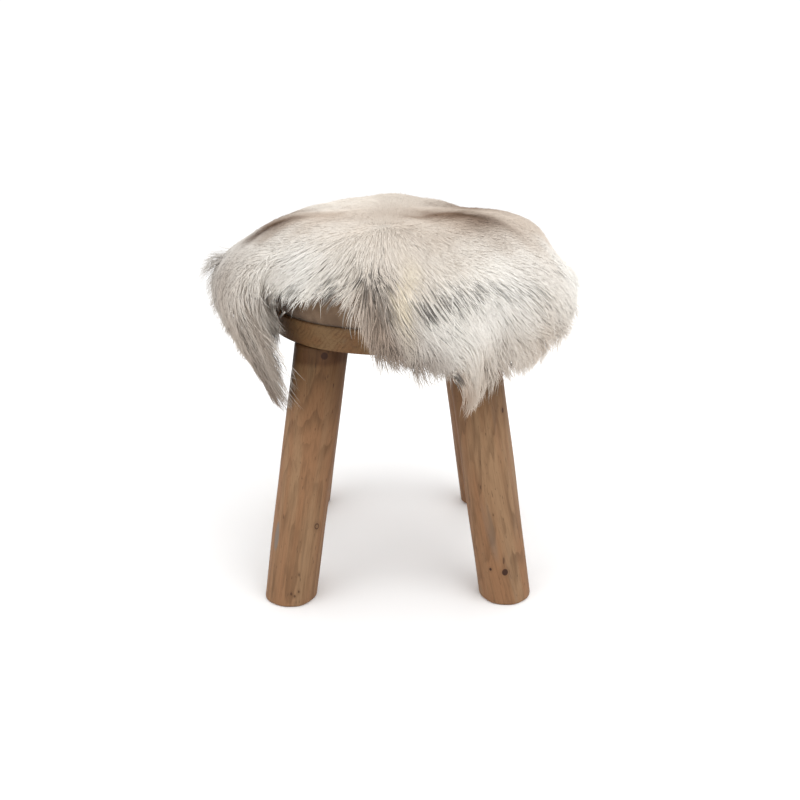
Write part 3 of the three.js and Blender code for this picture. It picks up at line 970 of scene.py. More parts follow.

# %% [markdown]
# Under the guard hair lies dense underfur. It could be hair too, but nobody sees single hairs there, so it is
# one lumpy closed shell over the skin, nearly as deep as the pile and thin at the skin's edge. It carries the
# coat's colour a little darker as painted shade deep in the coat, most where the hair parts on top, which
# gives depth between the locks.

# %% The underfur
UNDERFUR_ON_TOP = 0.87
UNDERFUR_ON_SKIRT = 0.85
UNDERFUR_PAINTED_SHADE = 0.92
UNDERFUR_EDGE = 0.6
UNDERFUR_FADES_FROM = 0.72
SKIRT_FROM = 0.6
SKIRT_OVER = 0.3
LUMP_DEPTH = 0.4
LUMPS_ROUND = 7.0
LUMP_LENGTH = 17.0
LUMP_SPACING = 29.0
PARTED_AT = (263.0, 106.0)
PARTED_SIZE = 16.0
PARTED_PAINTED_SHADE = 0.3
fade = 1.0 - smooth((shares - UNDERFUR_FADES_FROM) / (1.0 - UNDERFUR_FADES_FROM))[:, None]
bearing, distance = polar(skin_flat)
lump = LUMP_DEPTH * np.sin(np.radians(LUMPS_ROUND * bearing) + distance / LUMP_LENGTH)
lump = lump * np.sin(distance / LUMP_SPACING)
on_skirt = smooth((shares - SKIRT_FROM) / SKIRT_OVER)[:, None]
depth = mix(UNDERFUR_ON_TOP, UNDERFUR_ON_SKIRT, on_skirt) * pile_at(bearing, distance) + lump
fur_height = depth * fade + SKIN_THICKNESS + GAP + UNDERFUR_EDGE
fur_under = drape(skin_flat, np.full(skin_flat.shape[:2], SKIN_THICKNESS + GAP))
fur_rings = np.concatenate([fur_under, drape(skin_flat, fur_height)[::-1]])
underfur = piece_from_rings("underfur", fur_rings)
shell_flat = np.concatenate([skin_flat, skin_flat[::-1]])
# painted shade: the underfur is darker than the coat, more at the parting on top
shell_colour = UNDERFUR_PAINTED_SHADE * coat_colour(shell_flat)
parted_shade_mask = bell_on_skin(shell_flat, *PARTED_AT, PARTED_SIZE, PARTED_SIZE)
shell_colour = shell_colour * (1.0 - PARTED_PAINTED_SHADE * parted_shade_mask[..., None])
opaque = np.ones((*shell_colour.shape[:2], 1))
paint(underfur, "coat", with_ends(np.concatenate([shell_colour, opaque], axis=-1)))
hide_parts("hide")
print("underfur of", len(underfur.data.polygons), "faces")

# %% [markdown]
# The fur finish takes its colour from the coat layer that is painted on the points, and serves hair and
# underfur. Fur is matt with hardly any gloss, and a fine speckle varies its shade and roughens it.

# %% The fur finish
SPECKS_A_METRE = 700.0
fur_finish, tree, shader = finish("fur", roughness=0.75, specular=0.05)
coat_layer = add(tree, "Attribute", {}, attribute_name="coat").outputs["Color"]
here = add(tree, "TexCoord", {}).outputs["Object"]
speck = noise(tree, here, SPECKS_A_METRE, detail=2.0)
shade = add(tree, "MapRange", {"Value": speck, "To Min": 0.86, "To Max": 1.1}).outputs["Result"]
shaded = add(tree, "VectorMath", {0: coat_layer, "Scale": shade}, operation="SCALE").outputs[0]
dress(tree, shader, shaded, speck, strength=0.3, depth=0.0008)
underfur.data.materials.append(fur_finish)
print("fur finish ready")

# %% [markdown]
# ## Guard hair
# Which way hair lies is what makes a hide read as one animal. It parts along the back, flows outwards and
# down, and springs from a whorl above the front tuft. For each bearing a row of sweeps says how far it turns
# aside on the flank and at the rim, and how long it is there. The flow is a direction at every place on the
# flat skin, so a hair is drawn by taking a few steps along it.

# %% Which way the hair lies
WHORL_AT = (260.5, 164.0)
WHORL = flat_place(*np.array(WHORL_AT))
PARTING = flat_place(*np.array(PARTED_AT))
NECK = np.array([4.0, 75.0])
BACK_WIDTH = 26.0
BACKWARD = 0.25
TURNS_OVER = 18.0
# bearing, turn on the flank, turn at the rim, length at the rim
SWEEPS = np.array((
    (0, 0, 0, 1), (180, -6, 0, 1), (190, -12, 4, 1.1), (197, -20, 10, 1.2),
    (202, -32, 24, 1.5), (206, -44, 40, 1.7), (210, -56, 46, 1.5), (213, -62, 20, 0.9),
    (217, -64, -44, 0.85), (226, -64, -54, 0.9), (240, -58, -46, 0.86), (249, -44, -32, 0.72),
    (255, -20, 4, 0.6), (261, 2, 8, 0.85), (267, 12, 18, 1.25), (273, 24, 36, 1.5),
    (280, 34, 48, 1.6), (288, 42, 46, 1.4), (293, 46, 28, 1.1), (298, 50, 4, 0.9),
    (303, 54, 18, 1), (310, 58, 46, 1.2), (322, 60, 56, 1.2), (336, 48, 44, 1.15),
    (350, 16, 8, 1), (360, 0, 0, 1),
), float)
RIM_FROM = 0.72
RIM_OVER = 0.25
OUTWARD_FROM = 100.0
OUTWARD_OVER = 55.0
WHORL_SIZE = 30.0
WHORL_PUSH = 2.4
WHORL_STARTS = 4.0
WHORL_EASES = 14.0
CLOSEST = 0.1
LEAST_FLOW = 1e-6


def sweep_at(bearing, column):
    """One column of the sweeps at any bearing, along straight lines from row to row."""
    return np.interp(np.mod(bearing, 360.0), SWEEPS[:, 0], SWEEPS[:, column])


def turned(way, angle):
    """Directions on the flat skin turned by an angle in radians."""
    cos, sin = np.cos(angle), np.sin(angle)
    return np.stack([way[..., 0] * cos - way[..., 1] * sin, way[..., 0] * sin + way[..., 1] * cos], axis=-1)


def along_back(flat):
    """Away from the line from parting to neck; close to it towards the neck, forwards before the parting."""
    share = np.clip((flat[..., 1:] - PARTING[1]) / (NECK[1] - PARTING[1]), 0.0, 1.0)
    off_back = flat - mix(PARTING, NECK, share)
    apart = np.linalg.norm(off_back, axis=-1, keepdims=True) + CLOSEST
    lengthwise = np.tanh((flat[..., 1:] - PARTING[1]) / TURNS_OVER) * np.array([0.0, 1.0])
    return mix(off_back / apart, lengthwise, np.exp(-(apart / BACK_WIDTH) ** 2)) + BACKWARD * lengthwise


def flow(flat):
    """Along the back on the crown; outwards, turned by the bearing's sweep, on the skirt; off the whorl."""
    bearing, distance = polar(flat)
    bearing = np.mod(bearing, 360.0)
    near_rim = smooth((distance / skin_edge(bearing) - RIM_FROM) / RIM_OVER)
    turn = np.radians(bearing + mix(sweep_at(bearing, 1), sweep_at(bearing, 2), near_rim))
    outward = np.stack([np.cos(turn), np.sin(turn)], axis=-1)
    way = mix(along_back(flat), outward, smooth((distance - OUTWARD_FROM) / OUTWARD_OVER)[..., None])
    from_whorl = flat - WHORL
    apart = np.linalg.norm(from_whorl, axis=-1, keepdims=True) + CLOSEST
    below = smooth((distance[..., None] - np.linalg.norm(WHORL) + WHORL_STARTS) / WHORL_EASES)
    way = way + WHORL_PUSH * below * np.exp(-(apart / WHORL_SIZE) ** 2) * from_whorl / apart
    return way / (np.linalg.norm(way, axis=-1, keepdims=True) + LEAST_FLOW)


def hangs_as(flat):
    """Bearing whose drape each step of a hair follows: its own on the flank, its root's from the rim on."""
    bearing, distance = polar(flat)
    root, from_root = bearing[:, :1], distance[:, :1]
    keep = smooth((from_root / skin_edge(root) - RIM_FROM) / RIM_OVER)
    return root + degrees_off(bearing, root) * (1.0 - keep)


def along_flow(roots, run, bend, steps):
    """Paths from the roots: equal steps along the flow, each turned by the hair's own bend in radians."""
    flat = [roots]
    for _ in range(1, steps):
        flat.append(flat[-1] + turned(flow(flat[-1]), bend) * (run / (steps - 1))[:, None])
    return np.stack(flat, axis=1)


print("flow at the front", flow(np.array([[0.0, -150.0]])).round(2))

# %% [markdown]
# Hairs stick together in locks. Lock centres are scattered one to a square of the flat skin, moved at
# random inside it, and each hair joins the nearest. Hairs of a lock lean towards its middle at their tips
# and share its length, lift and shade.

# %% Locks of hair
def nearest_lock(flat, spacing, seed):
    """Index and centre of the nearest of the scattered centres, looked for in the nine squares around."""
    across = int(2.0 * FURTHEST / spacing) + 4
    scatter = np.random.default_rng(seed).random((across, across, 2))
    cell = np.floor((flat + FURTHEST) / spacing).astype(int) + 1
    best_gap = np.full(flat.shape[:-1], np.inf)
    best_index = np.zeros(flat.shape[:-1], int)
    best_centre = np.zeros(flat.shape)
    for shift_x in (-1, 0, 1):
        for shift_y in (-1, 0, 1):
            square = np.clip(cell + [shift_x, shift_y], 0, across - 1)
            inside = scatter[square[..., 0], square[..., 1]]
            centre = (square - 1 + inside) * spacing - FURTHEST
            gap = np.linalg.norm(flat - centre, axis=-1)
            closer = gap < best_gap
            best_gap = np.where(closer, gap, best_gap)
            best_index = np.where(closer, square[..., 0] * across + square[..., 1], best_index)
            best_centre = np.where(closer[..., None], centre, best_centre)
    return best_index, best_centre, across * across


print("nearest lock of the middle:", nearest_lock(np.zeros((1, 2)), 8.0, 1)[1].round(1))

# %% [markdown]
# A single hair is a closed spike with three sides: a small ring at its root, one to three rings on the
# way and a tip. Tens of thousands of them are made at once as arrays and joined into a few meshes, one for
# each part of the hide, because separate objects or particles would not leave the scene as plain meshes.

# %% Spikes from arrays
HAIR_CORNERS = np.radians([90.0, 210.0, 330.0])
HAIR_FLATNESS = 0.6
LEAST_LENGTH = 1e-9


def spikes(path, width, upward):
    """Three-sided spikes along paths (hair, step, xyz): flattened rings, narrowing to a point at the end."""
    hairs, steps, _ = path.shape
    along = np.gradient(path, axis=1)
    along = along / (np.linalg.norm(along, axis=-1, keepdims=True) + LEAST_LENGTH)
    across = np.cross(upward[:, None, :], along)
    across = across / (np.linalg.norm(across, axis=-1, keepdims=True) + LEAST_LENGTH)
    over = np.cross(along, across)
    section = across[:, :-1, None] * np.cos(HAIR_CORNERS)[:, None]
    section = section + HAIR_FLATNESS * over[:, :-1, None] * np.sin(HAIR_CORNERS)[:, None]
    rings = path[:, :-1, None] + section * width[:, :, None, None]
    points = np.concatenate([rings.reshape(hairs, -1, 3), path[:, -1:]], axis=1)
    each = points.shape[1]
    ring = np.arange(3 * (steps - 1)).reshape(steps - 1, 3)
    beside = np.roll(ring, -1, axis=1)
    side = np.stack([ring[:-1], beside[:-1], beside[1:], ring[1:]], axis=-1).reshape(-1, 4)
    tip = np.stack([ring[-1], beside[-1], np.full(3, each - 1)], axis=-1)
    ends = np.concatenate([tip, [[0, 2, 1]]])
    shift = (np.arange(hairs) * each)[:, None, None]
    return points.reshape(-1, 3), (side + shift).reshape(-1, 4), (ends + shift).reshape(-1, 3)


print("a hair of four steps has", 4 * 3 - 2, "points")

# %% [markdown]
# Now the hairs are laid. Roots are scattered evenly over the flat skin; each hair takes its steps along the
# flow and gathers into its locks, a fine one and a broad one. Hair is short and sleek on top and long at the
# skirt, where it hangs past the skin's edge. A few stray hairs leave their lock.

# %% Hair on the flat skin
FINE_LOCK = 6.0
FINE_SEED = 11
BROAD_LOCK = 25.0
BROAD_SEED = 21
SHORT_RUN = 16.0
LONG_RUN = 42.0
LONG_FROM = 0.6
RUN_LEAST = 0.76
RUN_BY_FINE_LOCK = 0.2
RUN_BY_BROAD_LOCK = 0.4
RUN_CHANCE = (0.8, 1.12)
WHORL_REACH = 45.0
WHORL_LENGTHENS = 0.6
STRAY_CHANCE = 0.05
STRAY_BEND = 0.3
BEND_CHANCE = 0.06
BEND_BY_FINE_LOCK = 0.2
BEND_BY_BROAD_LOCK = 0.5
GATHER_LEAST = 0.08
GATHER_MORE = 0.26
GATHER_BROADLY = 0.55
GATHER_LATE = 1.4


def scattered_roots(rng, spacing):
    """One root in each square of the flat skin, moved at random, kept inside the skin's edge."""
    line = np.arange(-FURTHEST, FURTHEST, spacing)
    flat = np.stack(np.meshgrid(line, line), axis=-1).reshape(-1, 2)
    flat = flat + rng.random(flat.shape) * spacing
    bearing, distance = polar(flat)
    return flat[distance < skin_edge(bearing)]


def lock_of(roots, spacing, seed):
    """Each hair's lock: its centre, and four chance numbers that all hairs of the lock share."""
    index, centre, count = nearest_lock(roots, spacing, seed)
    return centre, np.random.default_rng(seed + 1).random((count, 4))[index]


def hair_on_skin(rng, roots, steps):
    """Paths of hairs on the flat skin, with the traits that their height, width and colour depend on."""
    count = len(roots)
    bearing, distance = polar(roots)
    share = distance / skin_edge(bearing)
    fine_centre, fine = lock_of(roots, FINE_LOCK, FINE_SEED)
    broad_centre, broad = lock_of(roots, BROAD_LOCK, BROAD_SEED)
    outer = smooth((share - LONG_FROM) / (1.0 - LONG_FROM))
    near_whorl = np.exp(-(np.linalg.norm(roots - WHORL, axis=-1) / WHORL_REACH) ** 2)
    stray = rng.random(count) < STRAY_CHANCE
    run = mix(SHORT_RUN, LONG_RUN, np.maximum(outer, WHORL_LENGTHENS * near_whorl))
    run = run * mix(1.0, sweep_at(bearing, 3), outer)
    of_lock = RUN_LEAST + RUN_BY_FINE_LOCK * fine[:, 0] + RUN_BY_BROAD_LOCK * broad[:, 0] * outer ** 2
    run = run * of_lock * rng.uniform(*RUN_CHANCE, count)
    bend = rng.normal(0.0, BEND_CHANCE, count)
    bend = bend + np.where(stray, rng.normal(0.0, STRAY_BEND, count), 0.0)
    lock_bend = BEND_BY_FINE_LOCK * (fine[:, 1] - 0.5) + BEND_BY_BROAD_LOCK * (broad[:, 1] - 0.5)
    bend = bend + outer ** 2 * lock_bend
    flat = along_flow(roots, run, bend, steps)
    part = np.linspace(0.0, 1.0, steps)
    gather = GATHER_LEAST + GATHER_MORE * np.maximum(outer ** 2, near_whorl)
    pull = gather[:, None] * (fine_centre - roots)
    pull = pull + (GATHER_BROADLY * outer ** 3)[:, None] * (broad_centre - roots)
    flat = flat + (part ** GATHER_LATE)[None, :, None] * pull[:, None, :]
    return flat, {"share": share, "outer": outer, "stray": stray, "fine": fine, "part": part}


print("hair runs from", SHORT_RUN, "to", LONG_RUN, "mm")

# %% [markdown]
# A hair starts inside the underfur, rises through the pile and lies down again towards its tip, so that on
# top the coat looks combed flat. Its colour is the coat's at its middle, a little darker at the root as
# painted shade deep in the coat. In the streaks some hairs turn to charcoal from their middle to the tip, as
# a reindeer's guard hairs do.

# %% Height and colour of the hair
ROOT_LIFT_TOP = 0.87
ROOT_LIFT_SKIRT = 0.84
TIP_LIFT_TOP = 0.93
TIP_LIFT_SKIRT = 0.95
ROOT_CHANCE = (0.95, 1.0)
ROOT_AT_EDGE = 0.2
ROOT_SINKS_FROM = 0.8
ROOT_SINKS_OVER = 0.2
TIP_CHANCE = 0.02
TIP_BY_FINE_LOCK = 0.05
TIP_AT_EDGE = (0.45, 1.0)
TIP_SINKS_FROM = 0.75
TIP_SINKS_OVER = 0.25
STRAY_LIFT = (0.0, 0.12)
STRAY_LIFT_ON_TOP = 0.5
RISE_SOON = 1.9
ARCH = 0.03
ABOVE_SKIN = 0.5
# painted shade towards the root of each hair
ROOT_PAINTED_SHADE = 0.95
SHADE_LEAST = 0.96
SHADE_BY_FINE_LOCK = 0.05
SHADE_CHANCE = 0.025
STREAK_CHANCE = 0.27
STREAK_DARK = (0.4, 0.9)
STREAK_FROM = 0.05
STREAK_OVER = 0.5


def hair_height(rng, flat, traits):
    """Height over the skin: a share of the pile that rises from root to tip, with an arch on top."""
    share, outer, part, count = traits["share"], traits["outer"], traits["part"], len(flat)
    root = mix(ROOT_LIFT_TOP, ROOT_LIFT_SKIRT, smooth((share - SKIRT_FROM) / SKIRT_OVER))
    root = root * rng.uniform(*ROOT_CHANCE, count)
    root = root * mix(1.0, ROOT_AT_EDGE, smooth((share - ROOT_SINKS_FROM) / ROOT_SINKS_OVER))
    tip = mix(TIP_LIFT_TOP, TIP_LIFT_SKIRT, outer) + TIP_CHANCE * rng.random(count)
    tip = tip + TIP_BY_FINE_LOCK * outer * (traits["fine"][:, 2] - 0.5)
    sunk = smooth((share - TIP_SINKS_FROM) / TIP_SINKS_OVER)
    tip = tip * mix(1.0, rng.uniform(*TIP_AT_EDGE, count), sunk)
    stray_lift = rng.uniform(*STRAY_LIFT, count) * mix(STRAY_LIFT_ON_TOP, 1.0, outer)
    tip = tip + np.where(traits["stray"], stray_lift, 0.0)
    lift = root[:, None] + (tip - root)[:, None] * (1.0 - (1.0 - part) ** RISE_SOON)
    lift = lift + ARCH * (1.0 - outer)[:, None] * np.sin(np.pi * part)
    return SKIN_THICKNESS + ABOVE_SKIN + lift * pile_at(hangs_as(flat), polar(flat)[1])


def hair_colour(rng, flat, traits):
    """The coat's colour at the hair's middle, with painted shade towards the root, and dark tips inside the
    streaks.
    """
    part, count = traits["part"], len(flat)
    middle = flat[:, flat.shape[1] // 2]
    shade = SHADE_LEAST + SHADE_BY_FINE_LOCK * traits["fine"][:, 3] + rng.normal(0.0, SHADE_CHANCE, count)
    shade = shade[:, None] * mix(ROOT_PAINTED_SHADE, 1.0, part)
    colour = coat_colour(middle)[:, None, :] * shade[..., None]
    chosen = rng.random(count) < STREAK_CHANCE * streak_share(middle)
    dark = np.where(chosen, rng.uniform(*STREAK_DARK, count), 0.0)
    dark = dark[:, None] * smooth((part - STREAK_FROM) / STREAK_OVER)
    return mix(colour, CHARCOAL, dark[..., None])


print("hair rises from", ROOT_LIFT_TOP, "to", TIP_LIFT_TOP, "of the pile on top")

# %% [markdown]
# A fur piece is one joined mesh of hairs. Its shading normals lean towards the hide's own surface, which is
# how light behaves in a dense coat: it is lit as a soft form, not as thousands of separate sticks. Only the
# face of a hair that lies towards the skin has its normal turned down.

# %% Making a fur piece
ROUND_SHADE = 0.5
HAIR_WIDTH = 0.5
WIDTH_CHANCE = (0.7, 1.2)
WIDTH_NEAR_TIP = 0.6


def at_points(values):
    """Values for each step of each hair repeated for the three points of its ring, and once for the tip."""
    ringed = np.concatenate([np.repeat(values[:, :-1], 3, axis=1), values[:, -1:]], axis=1)
    return ringed.reshape(-1, values.shape[-1])


def fur_piece(name, flat, height, width, colour):
    """Drapes hair paths, makes them spikes and paints them; the piece stands for the hide's pile."""
    anchor = hangs_as(flat)
    path = drape(flat, height, anchor)
    upward = drape(flat, height + 1.0, anchor) - path
    points, quads, triangles = spikes(path, width, upward[:, 0])
    piece = piece_from_arrays(name, points, quads, triangles)
    around = ROUND_SHADE * (points - at_points(path)) / HAIR_WIDTH
    corners = np.concatenate([quads.ravel(), triangles.ravel()])
    under_quads = np.repeat(np.arange(len(quads)) % 3 == 1, 4)
    under_triangles = np.repeat(np.arange(len(triangles)) % 4 == 1, 3)
    under = np.concatenate([under_quads, under_triangles])
    normal = np.where(under, -1.0, 1.0)[:, None] * at_points(upward)[corners] + around[corners]
    piece.data.normals_split_custom_set(normal / np.linalg.norm(normal, axis=-1, keepdims=True))
    coat = at_points(colour)
    paint(piece, "coat", np.concatenate([coat, np.ones((len(coat), 1))], axis=-1))
    piece.data.materials.append(fur_finish)
    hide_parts("hide")
    print(name, len(path), "hairs,", 2 * len(quads) + len(triangles), "triangles")
    return piece


def hair_width(rng, count, steps):
    """Half widths of the rings of each hair, narrowing towards the tip."""
    each = HAIR_WIDTH * rng.uniform(*WIDTH_CHANCE, count)
    return each[:, None] * np.linspace(1.0, WIDTH_NEAR_TIP, steps - 1)


print("a hair is about", 2.0 * HAIR_WIDTH, "mm wide at its root")

# %% [markdown]
# The hide has three bands of hair: crown, flank and rim, where a hair takes more steps. Each band is split by
# its sides into a few pieces, so that no mesh grows too large.

# %% Hair over the whole hide
FRONT = 270.0
COAT_SEED = 2024
ROOT_SPACING = 1.62
# name, share of the way to the edge where it begins and ends, steps of a hair, sectors round the axis
BANDS = (("crown", 0.0, 0.56, 3, 2), ("flank", 0.56, 0.8, 3, 2), ("rim", 0.8, 1.0, 4, 4))
SIDES = {2: ("front", "rear"), 4: ("front", "right", "rear", "left")}
chance = np.random.default_rng(COAT_SEED)
all_roots = scattered_roots(chance, ROOT_SPACING)
root_bearing, root_distance = polar(all_roots)
root_share = root_distance / skin_edge(root_bearing)
for band, begin, end, steps, sectors in BANDS:
    from_first = np.mod(root_bearing - FRONT + 180.0 / sectors, 360.0)
    sector = np.floor(from_first / (360.0 / sectors)).astype(int)
    for order, side_name in enumerate(SIDES[sectors]):
        chosen = all_roots[(root_share >= begin) & (root_share < end) & (sector == order)]
        flat, traits = hair_on_skin(chance, chosen, steps)
        height = hair_height(chance, flat, traits)
        width = hair_width(chance, len(flat), steps)
        colour = hair_colour(chance, flat, traits)
        fur_piece(band + "_hair_" + side_name, flat, height, width, colour)

# %% [markdown]
# Loose locks break the outline: a tuft that stands off on the left, wisps across the gap by the front left
# leg, dark locks at the bay's corner, whose darkness is partly painted shadow, and pointed locks along the
# rim. Two short ones close the parting on top. Each lock's hairs gather towards its middle and their tips
# stand off.

# %% Loose locks
# bearing, distance, spread, run, turn from the flow, how far the tips stand off, hairs
LOOSE_LOCKS = (
    (186.0, 188.0, 5.0, 34.0, -12.0, 19.0, 140),
    (185.0, 196.0, 3.0, 42.0, -10.0, 10.0, 16),
    (188.0, 204.0, 9.0, 22.0, 0.0, 9.0, 90),
    (192.0, 214.0, 9.0, 24.0, 0.0, 8.0, 90),
    (195.0, 230.0, 9.0, 24.0, 0.0, 7.0, 90),
    (198.0, 250.0, 9.0, 26.0, 0.0, 6.0, 80),
    (210.0, 206.0, 7.0, 62.0, 0.0, 2.0, 110),
    (208.0, 224.0, 8.0, 70.0, 0.0, 2.0, 130),
    (207.0, 242.0, 8.0, 66.0, -4.0, 2.0, 130),
    (206.0, 262.0, 7.0, 60.0, -12.0, 2.0, 120),
    (204.0, 285.0, 6.0, 52.0, -18.0, 2.0, 100),
    (215.5, 192.0, 4.0, 48.0, 32.0, 0.0, 150),
    (213.5, 200.0, 4.0, 52.0, 4.0, 0.0, 150),
    (217.5, 193.0, 3.5, 46.0, 56.0, 0.0, 160),
    (209.0, 214.0, 6.0, 100.0, 16.0, 3.0, 16),
    (208.0, 232.0, 7.0, 104.0, 14.0, 4.0, 16),
    (351.0, 184.0, 7.0, 32.0, 0.0, 8.0, 100),
    (345.0, 190.0, 8.0, 32.0, 0.0, 8.0, 120),
    (336.0, 212.0, 6.0, 36.0, 0.0, 10.0, 70),
    (326.0, 226.0, 6.0, 48.0, 0.0, 10.0, 120),
    (321.0, 236.0, 6.0, 46.0, -6.0, 6.0, 90),
    (312.0, 246.0, 6.0, 44.0, -6.0, 4.0, 80),
    (307.5, 244.0, 5.0, 42.0, 0.0, 3.0, 110),
    (293.3, 276.0, 4.5, 44.0, 0.0, 2.0, 130),
    (290.6, 268.0, 4.0, 44.0, 0.0, 2.0, 120),
    (284.0, 240.0, 7.0, 40.0, 0.0, 3.0, 60),
    (277.0, 226.0, 8.0, 36.0, -8.0, 2.0, 120),
    (272.0, 222.0, 8.0, 32.0, -4.0, 2.0, 140),
    (280.5, 234.0, 9.0, 38.0, 0.0, 2.0, 220),
    (275.0, 226.0, 9.0, 36.0, 0.0, 2.0, 200),
    (266.5, 217.0, 7.0, 38.0, 0.0, 2.0, 150),
    (269.5, 218.0, 7.0, 40.0, 8.0, 2.0, 160),
    (263.0, 106.0, 7.0, 15.0, 80.0, 0.5, 300),
    (263.0, 106.0, 7.0, 15.0, -80.0, 0.5, 300),
    (8.0, 214.0, 6.0, 36.0, 0.0, 7.0, 60),
    (52.0, 226.0, 6.0, 40.0, 8.0, 5.0, 60),
    (88.0, 214.0, 6.0, 38.0, -8.0, 6.0, 60),
    (132.0, 232.0, 6.0, 42.0, 6.0, 5.0, 60),
    (160.0, 222.0, 6.0, 38.0, -6.0, 6.0, 60),
)
LOOSE_STEPS = 5
LOOSE_TURN_CHANCE = 0.1
LOOSE_RUN_CHANCE = (0.6, 1.1)
LOOSE_CURL = np.radians(14.0)
LOOSE_GATHER = 0.55
LOOSE_GATHER_LATE = 1.3
LOOSE_LIFT = (0.55, 0.9)
LOOSE_STANDS_LATE = 1.5
LOOSE_WIDTH = 0.8
hairs_each = [row[-1] for row in LOOSE_LOCKS]
bearing, distance, spread, run, turn, stand_off, _ = np.repeat(np.array(LOOSE_LOCKS), hairs_each, axis=0).T
count = len(bearing)
centre = flat_place(bearing, distance)
roots = centre + chance.normal(0.0, 1.0, (count, 2)) * spread[:, None]
part = np.linspace(0.0, 1.0, LOOSE_STEPS)
angle = np.radians(turn) + chance.normal(0.0, LOOSE_TURN_CHANCE, count)
reach = run * chance.uniform(*LOOSE_RUN_CHANCE, count)
curl = LOOSE_CURL * chance.normal(0.0, 1.0, count)
way = turned(flow(roots)[:, None, :], angle[:, None] + curl[:, None] * part)
flat = roots[:, None] + way * (reach[:, None] * part)[..., None]
flat = flat + LOOSE_GATHER * (centre - roots)[:, None] * (part ** LOOSE_GATHER_LATE)[:, None]
height = SKIN_THICKNESS + mix(*LOOSE_LIFT, part) * pile_at(hangs_as(flat), polar(flat)[1])
height = height + stand_off[:, None] * part ** LOOSE_STANDS_LATE
traits = {"part": part, "fine": chance.random((count, 4))}
width = LOOSE_WIDTH * hair_width(chance, count, LOOSE_STEPS)
fur_piece("loose_locks", flat, height, width, hair_colour(chance, flat, traits))

# %% [markdown]
# Reindeer guard hairs are often dark at the tip, and here they lie as thin charcoal strokes: fanning from the
# whorl, in a row over the front lobe, and at the bay's corner, where they are partly painted shadow too. Each
# stroke is a few hairs side by side that follow the flow just above the coat.

# %% Dark strokes
# bearing, distance, spread outwards, spread sideways, strokes, darkness
STROKES = (
    (261.5, 165.0, 12.0, 9.0, 60, 0.9),
    (264.5, 186.0, 14.0, 9.0, 36, 0.65),
    (247.5, 164.0, 8.0, 7.0, 20, 0.85),
    (250.0, 173.0, 6.0, 7.0, 14, 0.8),
    (256.0, 190.0, 9.0, 7.0, 14, 0.6),
    (278.6, 187.0, 8.0, 12.0, 30, 0.84),
    (286.2, 188.0, 7.0, 11.0, 24, 0.84),
    (292.5, 181.0, 4.0, 13.0, 22, 0.65),
    (302.0, 189.0, 4.0, 14.0, 20, 0.6),
    (313.0, 194.0, 7.0, 14.0, 14, 0.55),
    (333.0, 190.0, 7.0, 9.0, 10, 0.5),
    # the next three rows: dark hair at the bay's corner, partly painted shadow there
    (219.0, 184.0, 6.0, 8.0, 10, 0.7),
    (217.0, 205.0, 7.0, 5.0, 26, 0.8),
    (221.0, 193.0, 5.0, 7.0, 16, 0.7),
    (229.0, 170.0, 4.0, 5.0, 8, 0.7),
    (288.0, 262.0, 5.0, 5.0, 18, 0.85),
    (205.0, 285.0, 30.0, 16.0, 20, 0.5),
    (190.0, 136.0, 16.0, 12.0, 26, 0.6),
    (331.0, 88.0, 16.0, 18.0, 30, 0.5),
)
STROKE_HAIRS = 3
STROKE_STEPS = 4
STROKE_RUN = 17.0
STROKE_RUN_CHANCE = (0.6, 1.4)
STROKE_HAIR_RUN_CHANCE = (0.8, 1.1)
STROKE_SCATTER = 0.7
STROKE_HAIRS_APART = 0.3
STROKE_LIFT = 0.02
STROKE_RISE_SOON = 0.6
STROKE_ABOVE_SKIN = 0.8
STROKE_DARK_BY = 0.4
STROKE_WIDTH = 0.62
strokes_each = [row[4] for row in STROKES]
marks = np.repeat(np.array(STROKES), strokes_each, axis=0)
away = flat_place(marks[:, 0], np.ones(len(marks)))
beside = np.stack([-away[:, 1], away[:, 0]], axis=-1)
scatter = chance.normal(0.0, STROKE_SCATTER, (len(marks), 2)) * marks[:, 2:4]
centre = away * (marks[:, 1:2] + scatter[:, :1]) + beside * scatter[:, 1:]
count = len(marks) * STROKE_HAIRS
roots = np.repeat(centre, STROKE_HAIRS, axis=0) + chance.normal(0.0, STROKE_HAIRS_APART, (count, 2))
run = np.repeat(STROKE_RUN * chance.uniform(*STROKE_RUN_CHANCE, len(marks)), STROKE_HAIRS)
run = run * chance.uniform(*STROKE_HAIR_RUN_CHANCE, count)
flat = along_flow(roots, run, np.zeros(count), STROKE_STEPS)
part = np.linspace(0.0, 1.0, STROKE_STEPS)
bearing, distance = polar(roots)
outer = smooth((distance / skin_edge(bearing) - LONG_FROM) / (1.0 - LONG_FROM))[:, None]
root_lift = mix(ROOT_LIFT_TOP, ROOT_LIFT_SKIRT, outer)
tip_lift = mix(TIP_LIFT_TOP, TIP_LIFT_SKIRT, outer) + STROKE_LIFT
lift = mix(root_lift, tip_lift, part ** STROKE_RISE_SOON)
height = SKIN_THICKNESS + STROKE_ABOVE_SKIN + lift * pile_at(hangs_as(flat), polar(flat)[1])
dark = np.repeat(marks[:, 5], STROKE_HAIRS)[:, None] * smooth(part / STROKE_DARK_BY)
colour = mix(coat_colour(flat[:, 1])[:, None, :], CHARCOAL, dark[..., None])
width = STROKE_WIDTH * hair_width(chance, count, STROKE_STEPS)
fur_piece("dark_strokes", flat, height, width, colour)
